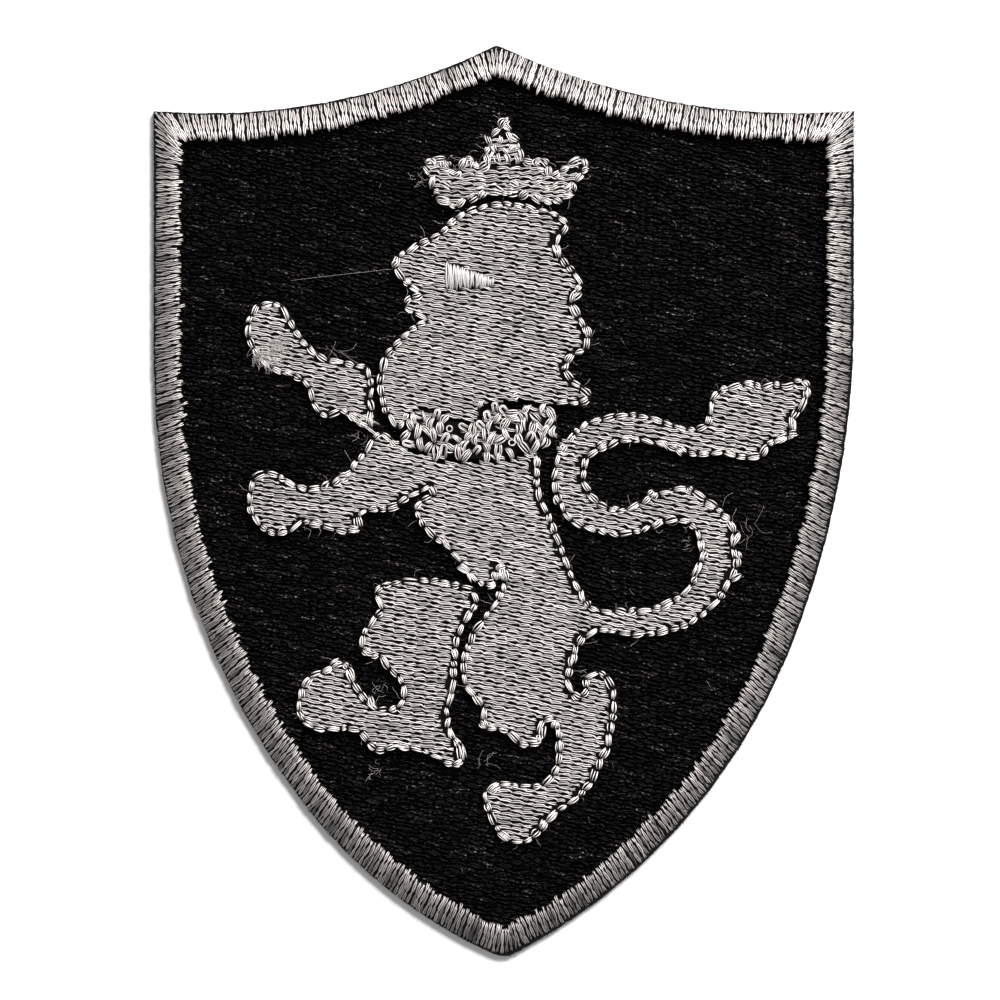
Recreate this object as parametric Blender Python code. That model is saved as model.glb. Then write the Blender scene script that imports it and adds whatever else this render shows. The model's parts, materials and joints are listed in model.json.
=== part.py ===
"""Embroidered shield patch with a crowned lion rampant, as separate stitched pieces.

Metres, +Z up. The patch lies face up: the top of the shield points to +Y, and the origin is in
the middle of the patch, on the underside of the cloth.
"""

import math

import bmesh
import bpy
from mathutils import Vector

COLLECTION_NAME = "embroidered_patch"

# Outline of the shield
PATCH_WIDTH = 0.0702
PATCH_HEIGHT = 0.0913
CORNER_DROP = 0.0066
TOP_EDGE_DIP = 0.0024
PEAK_SHIFT = -0.0007
LEFT_SIDE_LENGTH = 0.0253
RIGHT_SIDE_LENGTH = 0.0210
TIP_RADIUS = 0.0025
SHARPEST_TIP_RADIUS = 0.0002

# A side bends to the tip in an easier arc and then in a tighter one. These are shares of the
# radius of the single arc that would do it, and of the way down that the easier arc covers.
LEFT_BEND_EASE = 1.055
LEFT_BEND_CHANGE = 0.78
RIGHT_BEND_EASE = 1.155
RIGHT_BEND_CHANGE = 0.55

# Cloth and stitching
CLOTH_THICKNESS = 0.0010
CUT_EDGE = 0.00015
BORDER_WIDTH = 0.0025
BORDER_THICKNESS = 0.0009
FIGURE_THICKNESS = 0.0006
FIGURE_EDGE = 0.00012
STITCH_GAP = 0.0003

# Points along each stretch of the shield's outline, and along each span of the figure's
TOP_STEPS = 8
UPPER_BEND_STEPS = 8
LOWER_BEND_STEPS = 8
TIP_STEPS = 4
SPAN_STEPS = 2

# Cross-section of the satin border, from its outer edge to its inner one.
# Columns: share of the border's width, share of its thickness.
BORDER_PROFILE = (
    (0.00, 0.00),
    (0.00, 0.50),
    (0.14, 0.85),
    (0.50, 1.00),
    (0.86, 0.85),
    (1.00, 0.50),
    (1.00, 0.00),
)

# The figure is drawn on squared paper, where the field inside the border spans these lines.
# Every point below is across and down, in squares, and follows the field when its size changes.
FIELD_LEFT = 17.9
FIELD_RIGHT = 82.8
FIELD_TOP = 7.4
FIELD_BOTTOM = 93.0

# How the outline turns at the points of a row
ROUND = "AUTO"
SHARP = "VECTOR"

# Columns in all the outlines below: stretch of the outline, how it turns, its points
CROWN = (
    ("left point", ROUND, (45.2, 17.2), (44.9, 16.1), (43.7, 15.7), (42.5, 16.0), (42.5, 17.3)),
    ("left side", ROUND, (43.4, 19.2), (44.3, 20.7)),
    ("lower edge", ROUND, (45.4, 20.9), (46.7, 20.3), (49.0, 19.6), (52.4, 19.7), (54.2, 20.4), (56.6, 20.2)),
    ("right side", ROUND, (57.5, 19.0), (57.9, 18.0), (58.7, 17.3)),
    ("right point", ROUND, (59.0, 16.4), (58.2, 15.7), (57.0, 15.9), (56.0, 17.0)),
    ("right valley", ROUND, (55.1, 17.4)),
    ("right pearl", ROUND, (54.9, 16.1), (53.8, 15.7), (52.7, 16.3)),
    ("middle point, right", ROUND, (52.4, 15.4), (51.8, 14.4), (51.4, 13.4), (50.7, 12.6)),
    ("middle tip", ROUND, (51.3, 11.9), (49.9, 11.8)),
    ("middle point, left", ROUND, (49.8, 12.8), (48.7, 13.5), (48.5, 14.5), (48.3, 15.5)),
    ("left valley", ROUND, (48.6, 16.5), (47.8, 16.6)),
    ("left pearl", ROUND, (47.4, 15.7), (46.2, 15.6), (45.9, 16.6)),
    ("left notch", ROUND, (45.6, 17.5)),
)

HEAD = (
    ("top of the mane", ROUND, (46.2, 21.1), (47.6, 20.6), (49.5, 20.1), (52.0, 20.3), (54.0, 20.7)),
    ("first lock", ROUND, (55.4, 21.1), (56.8, 22.1), (57.0, 23.1), (56.1, 23.8)),
    ("first dip", ROUND, (55.9, 24.9)),
    ("second lock", ROUND, (57.0, 26.4), (58.0, 27.6), (58.4, 28.5), (57.6, 29.4)),
    ("second dip", ROUND, (57.5, 30.4)),
    ("third lock", ROUND, (58.1, 31.6), (58.9, 33.0), (59.0, 34.6), (58.2, 35.5)),
    ("third dip", ROUND, (57.0, 36.0), (57.2, 37.7)),
    ("fourth lock", ROUND, (58.4, 38.6), (59.2, 39.4), (58.7, 40.4), (56.6, 40.6)),
    ("above the collar, right", ROUND, (54.0, 40.1), (50.5, 40.0)),
    ("above the collar, left", SHARP, (48.3, 40.3), (47.9, 42.1)),
    ("above the collar, curls", ROUND, (46.2, 41.8), (44.6, 41.2), (43.5, 40.5), (41.4, 40.8)),
    ("throat", ROUND, (40.7, 42.0), (39.9, 43.1), (38.6, 41.8), (37.9, 40.0), (37.7, 38.0), (38.1, 36.0)),
    ("chest", ROUND, (39.0, 34.7), (40.2, 33.4), (41.2, 32.5)),
    ("chin notch", SHARP, (42.4, 32.0)),
    ("lower jaw", ROUND, (41.0, 31.4), (40.2, 30.4), (40.8, 29.5)),
    ("mouth", SHARP, (41.8, 29.5)),
    ("upper jaw", ROUND, (40.5, 28.6), (39.5, 27.5), (39.2, 26.2)),
    ("nose", ROUND, (39.9, 25.2), (41.4, 24.5)),
    ("brow", ROUND, (42.6, 23.8), (43.9, 23.1), (44.8, 22.2), (45.5, 21.5)),
)

EYE = (
    ("upper lid", SHARP, (44.6, 26.1), (49.3, 28.0)),
    ("lower lid", SHARP, (49.3, 28.5), (44.6, 29.0)),
)

MANE_COLLAR = (
    ("left curls", ROUND, (40.6, 43.1), (41.2, 41.6), (42.6, 40.9), (43.8, 41.1), (44.9, 42.0)),
    ("upper edge, left", ROUND, (46.3, 42.4), (47.6, 42.9)),
    ("upper edge, right", ROUND, (48.7, 41.3), (49.9, 40.7), (51.2, 41.0), (53.0, 40.7), (54.6, 40.8)),
    ("right end", ROUND, (55.5, 41.7), (55.5, 44.2), (54.5, 44.4)),
    ("lower edge, right", ROUND, (53.3, 44.7), (51.8, 45.4), (50.3, 45.9), (46.8, 45.9)),
    ("lower edge, left", ROUND, (45.0, 45.6), (43.8, 45.8), (42.5, 45.1), (41.0, 44.7), (40.3, 44.0)),
)

RAISED_FORELEG = (
    ("toes", ROUND, (27.0, 30.1), (28.2, 30.4), (29.0, 31.5), (29.7, 32.8)),
    ("upper edge", ROUND, (30.6, 34.2), (31.7, 35.2), (33.2, 35.9), (35.0, 36.2)),
    ("shoulder end", ROUND, (36.6, 36.5), (37.3, 37.6), (37.3, 40.0), (37.3, 42.3)),
    ("underside", ROUND, (36.7, 43.0), (35.4, 42.3), (34.0, 41.3)),
    ("elbow", ROUND, (33.0, 41.9), (31.8, 41.6), (31.0, 40.3), (30.6, 38.8)),
    ("wrist", ROUND, (29.6, 38.0), (28.2, 37.5), (26.4, 36.8)),
    ("paw", ROUND, (25.3, 35.4), (24.6, 34.0), (24.4, 32.6), (24.9, 31.2), (25.9, 30.3)),
)

NEAR_HIND_LEG = (
    ("knee", ROUND, (37.3, 59.7), (37.9, 58.4), (39.8, 58.0), (42.1, 57.7), (44.5, 58.0), (46.6, 58.5)),
    ("back of the thigh", ROUND, (47.9, 59.4), (47.8, 60.6), (46.8, 62.1), (46.0, 63.9), (45.7, 66.0)),
    ("back of the shin", ROUND, (45.6, 68.0), (45.3, 69.9), (44.9, 71.2)),
    ("heel", ROUND, (45.3, 73.2), (46.2, 74.4), (46.4, 75.6), (46.1, 76.8), (44.6, 76.5), (42.6, 75.5)),
    ("sole", ROUND, (40.6, 74.9), (39.0, 75.0), (38.0, 75.5), (36.8, 74.8), (35.7, 73.3), (33.8, 73.1)),
    ("toes", ROUND, (32.2, 73.3), (30.4, 72.5), (29.5, 71.0), (29.8, 69.4), (30.2, 68.0), (31.4, 67.1)),
    ("spur", ROUND, (32.8, 66.7), (33.6, 66.0), (34.8, 66.3)),
    ("instep", ROUND, (35.5, 67.8), (36.4, 69.4), (37.7, 70.6), (39.2, 70.7)),
    ("front of the shin", ROUND, (40.1, 69.8), (39.7, 68.0), (38.6, 66.9), (37.8, 65.9)),
    ("knee front", ROUND, (36.2, 65.5), (35.8, 64.3), (36.3, 62.8), (37.3, 61.6)),
    ("knee notch", ROUND, (37.9, 60.8)),
)

BODY = (
    ("shoulder", ROUND, (36.7, 44.3), (37.5, 43.2), (38.7, 43.3), (39.7, 44.3)),
    ("below the collar, left", ROUND, (41.2, 45.3), (42.6, 45.7), (44.0, 46.4), (48.0, 46.4)),
    ("below the collar, right", ROUND, (51.0, 46.3), (52.6, 45.7), (53.8, 45.2)),
    ("back", ROUND, (54.0, 46.6), (54.0, 49.2), (54.9, 51.0), (55.7, 53.0), (56.6, 55.4)),
    ("loin", ROUND, (57.5, 57.7), (58.4, 59.4), (59.5, 60.8)),
    ("tail, lower sweep above", ROUND, (62.0, 60.8), (65.2, 60.6), (67.8, 59.5), (69.2, 57.8)),
    ("tail, lower bend inside", ROUND, (69.9, 55.8), (69.5, 53.4), (68.2, 52.3)),
    ("tail, middle sweep below", ROUND, (66.6, 52.4), (64.4, 53.3), (61.6, 53.7), (59.0, 53.2), (57.0, 52.4)),
    ("tail, upper bend outside", ROUND, (55.8, 50.6), (55.1, 48.2), (55.4, 45.9), (56.6, 43.9), (58.3, 42.2)),
    ("tail, upper run above", ROUND, (60.6, 41.5), (63.6, 41.3), (66.6, 42.0), (69.4, 42.8)),
    ("tuft, base", ROUND, (70.5, 42.2), (70.8, 40.4), (71.3, 39.1)),
    ("tuft, upper teeth", ROUND, (72.9, 38.6), (74.0, 38.1), (75.2, 37.9), (76.3, 38.7), (77.4, 37.9)),
    ("tuft, tip", ROUND, (78.5, 38.6), (79.5, 37.7), (80.9, 38.1), (81.1, 39.7)),
    ("tuft, right teeth", ROUND, (80.3, 41.0), (79.5, 41.9), (79.9, 43.1), (79.0, 44.1), (77.2, 44.5)),
    ("tuft, lower tooth", ROUND, (76.4, 45.7), (74.8, 46.1)),
    ("tail, upper run below", ROUND, (72.4, 45.6), (69.4, 45.7), (66.4, 44.8), (63.4, 44.3), (60.8, 44.8)),
    ("tail, upper bend inside", ROUND, (59.0, 45.9), (58.6, 47.6), (59.4, 49.6), (60.8, 50.6)),
    ("tail, middle sweep above", ROUND, (62.8, 50.7), (64.4, 49.7), (66.8, 48.9), (69.0, 48.5)),
    ("tail, lower bend outside", ROUND, (70.4, 49.6), (72.4, 51.1), (73.6, 52.6), (73.6, 54.8), (74.0, 56.6)),
    ("tail, lower sweep below", ROUND, (73.1, 58.4), (71.9, 60.4), (70.2, 61.9), (68.0, 63.0), (65.6, 63.6)),
    ("tail, root", ROUND, (62.6, 63.7), (60.0, 63.3)),
    ("rump", ROUND, (58.4, 64.1), (57.6, 65.6), (57.2, 67.4), (57.2, 69.0), (58.3, 69.4)),
    ("hock spur", ROUND, (58.2, 67.8), (59.1, 67.1), (60.4, 67.1), (61.3, 68.3)),
    ("back of the hind leg", ROUND, (61.7, 70.2), (61.4, 72.8), (60.9, 75.0), (60.0, 77.0), (58.8, 79.1)),
    ("heel", ROUND, (57.2, 80.5), (55.4, 81.7)),
    ("toes", ROUND, (54.0, 83.4), (52.4, 84.5), (50.6, 84.1), (49.2, 82.5), (48.5, 80.8), (48.1, 79.4)),
    ("instep", ROUND, (49.1, 78.2), (50.8, 78.1), (53.2, 78.4), (54.8, 77.7), (55.6, 75.6), (55.6, 73.6)),
    ("claw", ROUND, (54.9, 72.0), (54.2, 72.8), (54.2, 74.5), (53.1, 74.8), (52.2, 74.8), (51.2, 73.8)),
    ("claw, left", ROUND, (49.6, 73.1), (48.6, 73.3), (48.1, 71.6)),
    ("shin", ROUND, (47.7, 70.0), (46.5, 69.3), (46.1, 67.8), (46.1, 65.6)),
    ("front of the thigh", ROUND, (46.8, 63.9), (47.8, 62.1), (49.0, 60.6)),
    ("thigh crease", SHARP, (50.0, 59.1), (50.2, 56.8), (49.9, 56.8), (49.6, 58.8)),
    ("belly", ROUND, (48.2, 58.7), (46.9, 57.8), (45.6, 56.1), (44.4, 54.7), (42.9, 53.6), (41.8, 52.2)),
    ("foreleg crease", SHARP, (41.0, 50.5), (43.2, 49.2), (43.1, 48.9), (40.7, 50.1)),
    ("lower foreleg, underside", ROUND, (39.0, 51.2), (36.9, 51.3), (36.0, 51.8), (36.2, 53.0), (34.6, 53.5)),
    ("lower foreleg, wrist", ROUND, (33.0, 53.2), (31.6, 52.5), (30.2, 52.6), (28.6, 53.5), (26.8, 53.5)),
    ("lower paw", ROUND, (25.4, 52.3), (24.6, 50.6), (24.9, 48.4), (25.6, 47.2), (27.0, 47.0)),
    ("lower foreleg, top", ROUND, (28.6, 47.8), (30.4, 48.6), (32.4, 48.2), (33.9, 47.7), (34.8, 46.8)),
    ("upper arm", ROUND, (35.5, 45.8), (36.3, 45.1)),
)

# Columns: base colour, roughness
FINISHES = {
    "black_cloth": ((0.006, 0.005, 0.006), 0.85),
    "border_thread": ((0.30, 0.27, 0.26), 0.45),
    "figure_thread": ((0.34, 0.31, 0.30), 0.42),
    "collar_thread": ((0.40, 0.37, 0.36), 0.40),
    "eye_thread": ((0.70, 0.68, 0.66), 0.40),
}


def clear_scene():
    for leftover in list(bpy.data.objects):
        bpy.data.objects.remove(leftover, do_unlink=True)


def make_finish(name):
    """A plain matt or silky material of the given finish."""
    colour, roughness = FINISHES[name]
    finish = bpy.data.materials.new(name)
    finish.use_nodes = True
    shader = finish.node_tree.nodes["Principled BSDF"]
    shader.inputs["Base Color"].default_value = (*colour, 1.0)
    shader.inputs["Roughness"].default_value = roughness
    shader.inputs["Metallic"].default_value = 0.0
    return finish


def arc_points(centre, radius, start, end, steps):
    """Points on a circle from the start angle to the end angle, without the last one."""
    angles = [start + (end - start) * step / steps for step in range(steps)]
    return [Vector((centre.x + radius * math.cos(a), centre.y + radius * math.sin(a))) for a in angles]


def angle_of(point, centre):
    return math.atan2(point.y - centre.y, point.x - centre.x)


def top_edge_circle(corner, peak):
    """Centre and radius of the circle on which a top edge lies, which dips below a straight line."""
    chord = peak - corner
    radius = chord.length_squared / (8 * TOP_EDGE_DIP) + TOP_EDGE_DIP / 2
    upward = Vector((-chord.y, chord.x)).normalized()
    if upward.y < 0:
        upward.negate()
    return (corner + peak) / 2 + upward * (radius - TOP_EDGE_DIP), radius


def lower_crossing(first, first_radius, second, second_radius):
    """The lower of the two points where two circles cross."""
    across = second - first
    along = (first_radius ** 2 - second_radius ** 2 + across.length_squared) / (2 * across.length)
    reach = math.sqrt(first_radius ** 2 - along ** 2)
    downward = Vector((-across.y, across.x)).normalized()
    if downward.y > 0:
        downward.negate()
    return first + across.normalized() * along + downward * reach


def side_bends(side, straight_length, ease, change, corner_y):
    """Centres and radii of the two arcs from a straight side to the tip, and where they meet.

    The upper arc touches the side, the lower one touches the upper arc and the rounded tip.
    """
    tip_centre = Vector((0.0, TIP_RADIUS - PATCH_HEIGHT / 2))
    start_y = corner_y - straight_length
    fall = start_y - tip_centre.y
    reach = PATCH_WIDTH / 2
    single_radius = (reach ** 2 + fall ** 2 - TIP_RADIUS ** 2) / (2 * (reach - TIP_RADIUS))
    upper_radius = single_radius * ease
    upper = Vector((side * (reach - upper_radius), start_y))
    turn = math.asin(change * fall / upper_radius)
    outward = Vector((side * math.cos(turn), -math.sin(turn)))
    meeting = upper + outward * upper_radius - tip_centre
    lower_radius = (meeting.length_squared - TIP_RADIUS ** 2) / (2 * (meeting.dot(outward) - TIP_RADIUS))
    lower = upper + outward * (upper_radius - lower_radius)
    return upper, upper_radius, lower, lower_radius, math.atan2(outward.y, outward.x)


def corner_at(side_x, centre, radius):
    """Where a top edge's circle meets a straight side."""
    return Vector((side_x, centre.y - math.sqrt(radius ** 2 - (side_x - centre.x) ** 2)))


def shield_outline(inset):
    """The shield's outline moved inwards, anticlockwise from the peak, from above."""
    half_width = PATCH_WIDTH / 2
    peak = Vector((PEAK_SHIFT, PATCH_HEIGHT / 2))
    corner_y = PATCH_HEIGHT / 2 - CORNER_DROP
    left_top, left_top_radius = top_edge_circle(Vector((-half_width, corner_y)), peak)
    right_top, right_top_radius = top_edge_circle(Vector((half_width, corner_y)), peak)
    left_bend, left_radius, left_lower, left_lower_radius, left_change = side_bends(
        -1, LEFT_SIDE_LENGTH, LEFT_BEND_EASE, LEFT_BEND_CHANGE, corner_y)
    right_bend, right_radius, right_lower, right_lower_radius, right_change = side_bends(
        1, RIGHT_SIDE_LENGTH, RIGHT_BEND_EASE, RIGHT_BEND_CHANGE, corner_y)

    # The top edges bow inwards and the sides outwards, so their circles grow and shrink.
    left_top_radius += inset
    right_top_radius += inset
    left_radius -= inset
    left_lower_radius -= inset
    right_radius -= inset
    right_lower_radius -= inset
    tip_radius = max(TIP_RADIUS - inset, SHARPEST_TIP_RADIUS)
    inner_peak = lower_crossing(left_top, left_top_radius, right_top, right_top_radius)
    left_corner = corner_at(inset - half_width, left_top, left_top_radius)
    right_corner = corner_at(half_width - inset, right_top, right_top_radius)
    tip_centre = lower_crossing(left_lower, left_lower_radius - tip_radius,
                                right_lower, right_lower_radius - tip_radius)
    left_turn = 2 * math.pi + angle_of(tip_centre, left_lower)
    right_turn = angle_of(tip_centre, right_lower)

    points = arc_points(left_top, left_top_radius, angle_of(inner_peak, left_top),
                        angle_of(left_corner, left_top), TOP_STEPS)
    points.append(left_corner)
    left_change += 2 * math.pi
    points += arc_points(left_bend, left_radius, math.pi, left_change, UPPER_BEND_STEPS)
    points += arc_points(left_lower, left_lower_radius, left_change, left_turn, LOWER_BEND_STEPS)
    points += arc_points(tip_centre, tip_radius, left_turn - 2 * math.pi, right_turn, TIP_STEPS)
    points += arc_points(right_lower, right_lower_radius, right_turn, right_change, LOWER_BEND_STEPS)
    points += arc_points(right_bend, right_radius, right_change, 0.0, UPPER_BEND_STEPS)
    points.append(Vector((half_width - inset, right_bend.y)))
    points += arc_points(right_top, right_top_radius, angle_of(right_corner, right_top),
                         angle_of(inner_peak, right_top), TOP_STEPS)
    return points


def place_in_field(rows):
    """Turn points of the squared drawing into places on the field inside the border."""
    field = shield_outline(CUT_EDGE + BORDER_WIDTH)
    left = min(point.x for point in field)
    right = max(point.x for point in field)
    bottom = min(point.y for point in field)
    top = max(point.y for point in field)
    square_width = (right - left) / (FIELD_RIGHT - FIELD_LEFT)
    square_height = (top - bottom) / (FIELD_BOTTOM - FIELD_TOP)
    placed = []
    for _stretch, turn, *points in rows:
        for across, down in points:
            x = left + (across - FIELD_LEFT) * square_width
            y = top - (down - FIELD_TOP) * square_height
            placed.append((Vector((x, y)), turn))
    return placed


def grown(placed, gap):
    """A convex outline moved outwards by a gap, for the opening round another piece."""
    points = [point for point, _turn in placed]
    middle = sum(points, Vector((0.0, 0.0))) / len(points)
    moved = []
    for index, point in enumerate(points):
        normals = []
        for start, end in ((points[index - 1], point), (point, points[(index + 1) % len(points)])):
            normal = Vector((end.y - start.y, start.x - end.x)).normalized()
            if normal.dot(start - middle) < 0:
                normal.negate()
            normals.append(normal)
        reach = gap / (1 + normals[0].dot(normals[1]))
        moved.append((point + (normals[0] + normals[1]) * reach, SHARP))
    return moved


def add_outline(curve, placed):
    """Add one closed outline to a flat curve."""
    spline = curve.splines.new("BEZIER")
    spline.bezier_points.add(len(placed) - 1)
    for knot, (point, turn) in zip(spline.bezier_points, placed):
        knot.co = (point.x, point.y, 0.0)
        knot.handle_left_type = turn
        knot.handle_right_type = turn
    spline.use_cyclic_u = True
    spline.resolution_u = SPAN_STEPS if any(turn == ROUND for _point, turn in placed) else 1


def add_plate(collection, name, outlines, underside, thickness, edge, finish):
    """A flat piece with the given outlines, whose upper and lower edges are chamfered."""
    curve = bpy.data.curves.new(name, "CURVE")
    curve.dimensions = "2D"
    curve.fill_mode = "BOTH"
    curve.extrude = thickness / 2 - edge
    curve.bevel_depth = edge
    curve.bevel_resolution = 0
    curve.offset = -edge
    for placed in outlines:
        add_outline(curve, placed)
    plate = bpy.data.objects.new(name, curve)
    plate.location.z = underside + thickness / 2
    plate.data.materials.append(finish)
    collection.objects.link(plate)
    return plate


def add_ground_cloth(collection):
    """The backed cloth that carries all the stitching, cut to the shield."""
    outline = [(point, SHARP) for point in shield_outline(0.0)]
    black_cloth = make_finish("black_cloth")
    return add_plate(collection, "ground_cloth", [outline], 0.0, CLOTH_THICKNESS, 0.0, black_cloth)


def add_satin_border(collection):
    """The domed band of satin stitches just inside the cut edge of the cloth."""
    mesh = bpy.data.meshes.new("satin_border")
    shell = bmesh.new()
    underside = CLOTH_THICKNESS + STITCH_GAP
    loops = []
    for width_share, height_share in BORDER_PROFILE:
        ring = shield_outline(CUT_EDGE + BORDER_WIDTH * width_share)
        height = underside + BORDER_THICKNESS * height_share
        verts = [shell.verts.new((point.x, point.y, height)) for point in ring]
        loops.append([shell.edges.new((verts[i - 1], verts[i])) for i in range(len(verts))])
    for index, loop in enumerate(loops):
        bmesh.ops.bridge_loops(shell, edges=loops[index - 1] + loop)
    bmesh.ops.recalc_face_normals(shell, faces=shell.faces)
    shell.to_mesh(mesh)
    shell.free()
    border = bpy.data.objects.new("satin_border", mesh)
    border.data.materials.append(make_finish("border_thread"))
    collection.objects.link(border)
    return border


def add_figure(collection):
    """The crowned lion, stitched in separate fields that stop just short of each other."""
    underside = CLOTH_THICKNESS + STITCH_GAP
    figure_thread = make_finish("figure_thread")
    collar_thread = make_finish("collar_thread")
    eye = place_in_field(EYE)
    eye_opening = grown(eye, STITCH_GAP)
    fields = (
        ("crown", [place_in_field(CROWN)], collar_thread),
        ("head", [place_in_field(HEAD), eye_opening], figure_thread),
        ("eye", [eye], make_finish("eye_thread")),
        ("mane_collar", [place_in_field(MANE_COLLAR)], collar_thread),
        ("raised_foreleg", [place_in_field(RAISED_FORELEG)], figure_thread),
        ("body", [place_in_field(BODY)], figure_thread),
        ("near_hind_leg", [place_in_field(NEAR_HIND_LEG)], figure_thread),
    )
    return [
        add_plate(collection, name, outlines, underside, FIGURE_THICKNESS, FIGURE_EDGE, finish)
        for name, outlines, finish in fields
    ]


def main():
    clear_scene()
    collection = bpy.data.collections.new(COLLECTION_NAME)
    bpy.context.scene.collection.children.link(collection)
    patch = bpy.data.objects.new("patch", None)
    collection.objects.link(patch)
    pieces = [add_ground_cloth(collection), add_satin_border(collection)]
    pieces += add_figure(collection)
    for piece in pieces:
        piece.parent = patch


main()
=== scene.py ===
"""Embroidered shield patch: the cloth and every thread that is stitched on it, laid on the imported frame.

The outlines of all the fields are read from the frame's nodes, so the stitches follow the model when a
size of it changes. Lengths are in metres, +Z is out of the stitched face and +Y is to the shield's top.
"""

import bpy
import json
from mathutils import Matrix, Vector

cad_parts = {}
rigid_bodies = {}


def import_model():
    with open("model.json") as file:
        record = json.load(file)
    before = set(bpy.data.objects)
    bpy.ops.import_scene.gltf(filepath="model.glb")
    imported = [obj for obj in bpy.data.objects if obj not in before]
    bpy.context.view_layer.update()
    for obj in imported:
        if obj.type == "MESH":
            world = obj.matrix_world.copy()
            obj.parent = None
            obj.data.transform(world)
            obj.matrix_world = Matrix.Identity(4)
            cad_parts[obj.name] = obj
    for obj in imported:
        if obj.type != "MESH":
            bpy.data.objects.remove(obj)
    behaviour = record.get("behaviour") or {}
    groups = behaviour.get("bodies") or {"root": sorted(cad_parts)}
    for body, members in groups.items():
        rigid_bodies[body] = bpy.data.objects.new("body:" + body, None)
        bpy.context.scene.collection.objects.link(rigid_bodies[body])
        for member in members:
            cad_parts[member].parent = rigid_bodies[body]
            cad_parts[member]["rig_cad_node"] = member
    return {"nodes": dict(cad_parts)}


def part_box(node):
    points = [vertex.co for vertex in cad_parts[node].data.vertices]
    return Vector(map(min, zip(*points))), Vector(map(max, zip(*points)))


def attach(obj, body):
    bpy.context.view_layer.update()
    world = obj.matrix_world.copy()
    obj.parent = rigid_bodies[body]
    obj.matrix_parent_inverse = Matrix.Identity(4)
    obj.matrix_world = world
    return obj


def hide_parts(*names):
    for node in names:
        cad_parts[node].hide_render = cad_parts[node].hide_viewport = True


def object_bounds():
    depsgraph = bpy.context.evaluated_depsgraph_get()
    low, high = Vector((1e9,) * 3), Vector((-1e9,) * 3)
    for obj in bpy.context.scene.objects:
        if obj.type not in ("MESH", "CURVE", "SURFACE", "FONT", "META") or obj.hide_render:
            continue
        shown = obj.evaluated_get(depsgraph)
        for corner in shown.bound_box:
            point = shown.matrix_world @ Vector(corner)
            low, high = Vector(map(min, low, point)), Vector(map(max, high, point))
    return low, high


bl_info = {
    "name": "Embroidered Shield Patch",
    "version": (1, 0, 0),
    "blender": (4, 5, 0),
    "location": "View3D > Sidebar > Patch",
    "description": "Stitches a shield patch, thread by thread, on its flat model",
    "category": "Object",
}

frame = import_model()

import json
import math

import bpy
import numpy as np
from bpy.props import FloatProperty, FloatVectorProperty, IntProperty, PointerProperty
from mathutils import Vector
from mathutils.geometry import tessellate_polygon

MM = 0.001
CAD_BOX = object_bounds()
BODY = "root"
COLLECTION = "embroidered_patch"

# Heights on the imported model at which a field's wall shows its true outline
PLATE_WALL = 1.78 * MM
RING_WALL = 1.75 * MM

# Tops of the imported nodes, and the shield's size
CLOTH_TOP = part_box("ground_cloth")[1][2]
PLATE_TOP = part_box("body")[1][2]
RING_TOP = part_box("satin_border")[1][2]
SHIELD_WIDTH = CAD_BOX[1][0] - CAD_BOX[0][0]
SHIELD_HEIGHT = CAD_BOX[1][1] - CAD_BOX[0][1]

# A corner of the border turns by more than this within the reach to each side
CORNER_TURN = math.radians(25)
CORNER_REACH = 2.2 * MM

# The dark layers under the fields and under the border start just above the cloth
UNDERLAY_FOOT = 0.85 * MM
UNDERLAY_HEIGHT = 0.45 * MM
PADDING_FOOT = 0.82 * MM

# The stage: what the camera looks at, its sensor in mm, the light, and half the floor's side
CAMERA_AIM = Vector((-0.38 * MM, 0.07 * MM, 0.0))
SENSOR_WIDTH = 36.0
LIGHT_PLACE = Vector((0.50, 0.76, 0.82))
LIGHT_SIZE = 0.55
FLOOR_REACH = 3.0

FIGURE_FIELDS = ("head", "raised_foreleg", "body", "near_hind_leg")
FIGURE_NODES = FIGURE_FIELDS + ("crown", "mane_collar", "eye")

# How far the figure's rows drop for their length
ROW_SLOPE = 0.185

# How far a column of needle points leans to the right on its way up
CELL_LEAN = 0.05

# Where loose fibres stand out. Columns: place as shares of the shield's width and height, reach in mm,
# height in mm, direction and its spread in degrees, number of fibres, their length in mm
FRAYS = (
    (0.158, 0.660, 1.2, 1.85, -65, 25, 120, 0.9),
    (0.175, 0.668, 1.0, 1.90, -30, 60, 110, 0.8),
    (0.386, 0.853, 0.8, 1.30, 170, 60, 14, 0.9),
    (0.835, 0.473, 2.6, 1.30, 20, 60, 12, 1.8),
    (0.324, 0.205, 1.0, 1.20, 180, 60, 8, 1.0),
    (0.324, 0.293, 1.0, 1.20, 200, 60, 8, 1.0),
    (0.466, 0.210, 0.8, 1.20, 40, 50, 5, 1.8),
    (0.262, 0.668, 0.7, 1.30, -20, 40, 5, 2.4),
    (0.765, 0.452, 1.0, 1.25, 190, 40, 8, 0.6),
    (0.295, 0.572, 1.4, 1.20, -60, 40, 6, 1.4),
    (0.194, 0.741, 0.1, 1.20, 9, 2, 1, 10.0),
)

# Where the outline's stitches lie over each other: place as shares of the shield's size, reach in mm
TANGLES = (
    (0.812, 0.450, 3.2),
    (0.500, 0.265, 3.6),
    (0.560, 0.250, 2.6),
    (0.595, 0.725, 1.6),
    (0.905, 0.590, 3.6),
    (0.485, 0.415, 2.2),
    (0.440, 0.235, 2.0),
    (0.340, 0.245, 2.0),
)

# Long strands that lie loose under the raised foreleg: both ends as shares of the shield's size
LOOSE_STRANDS = (
    (0.270, 0.596, 0.313, 0.577),
    (0.279, 0.599, 0.321, 0.584),
    (0.296, 0.585, 0.326, 0.568),
)

TINT = "strand_tint"
CREST = "crest"
THREAD_MAP = "thread"


def shield_place(across, up):
    """The place at these shares of the shield's width and height, as x and y."""
    return np.array([CAD_BOX[0][0] + across * SHIELD_WIDTH, CAD_BOX[0][1] + up * SHIELD_HEIGHT])


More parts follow.
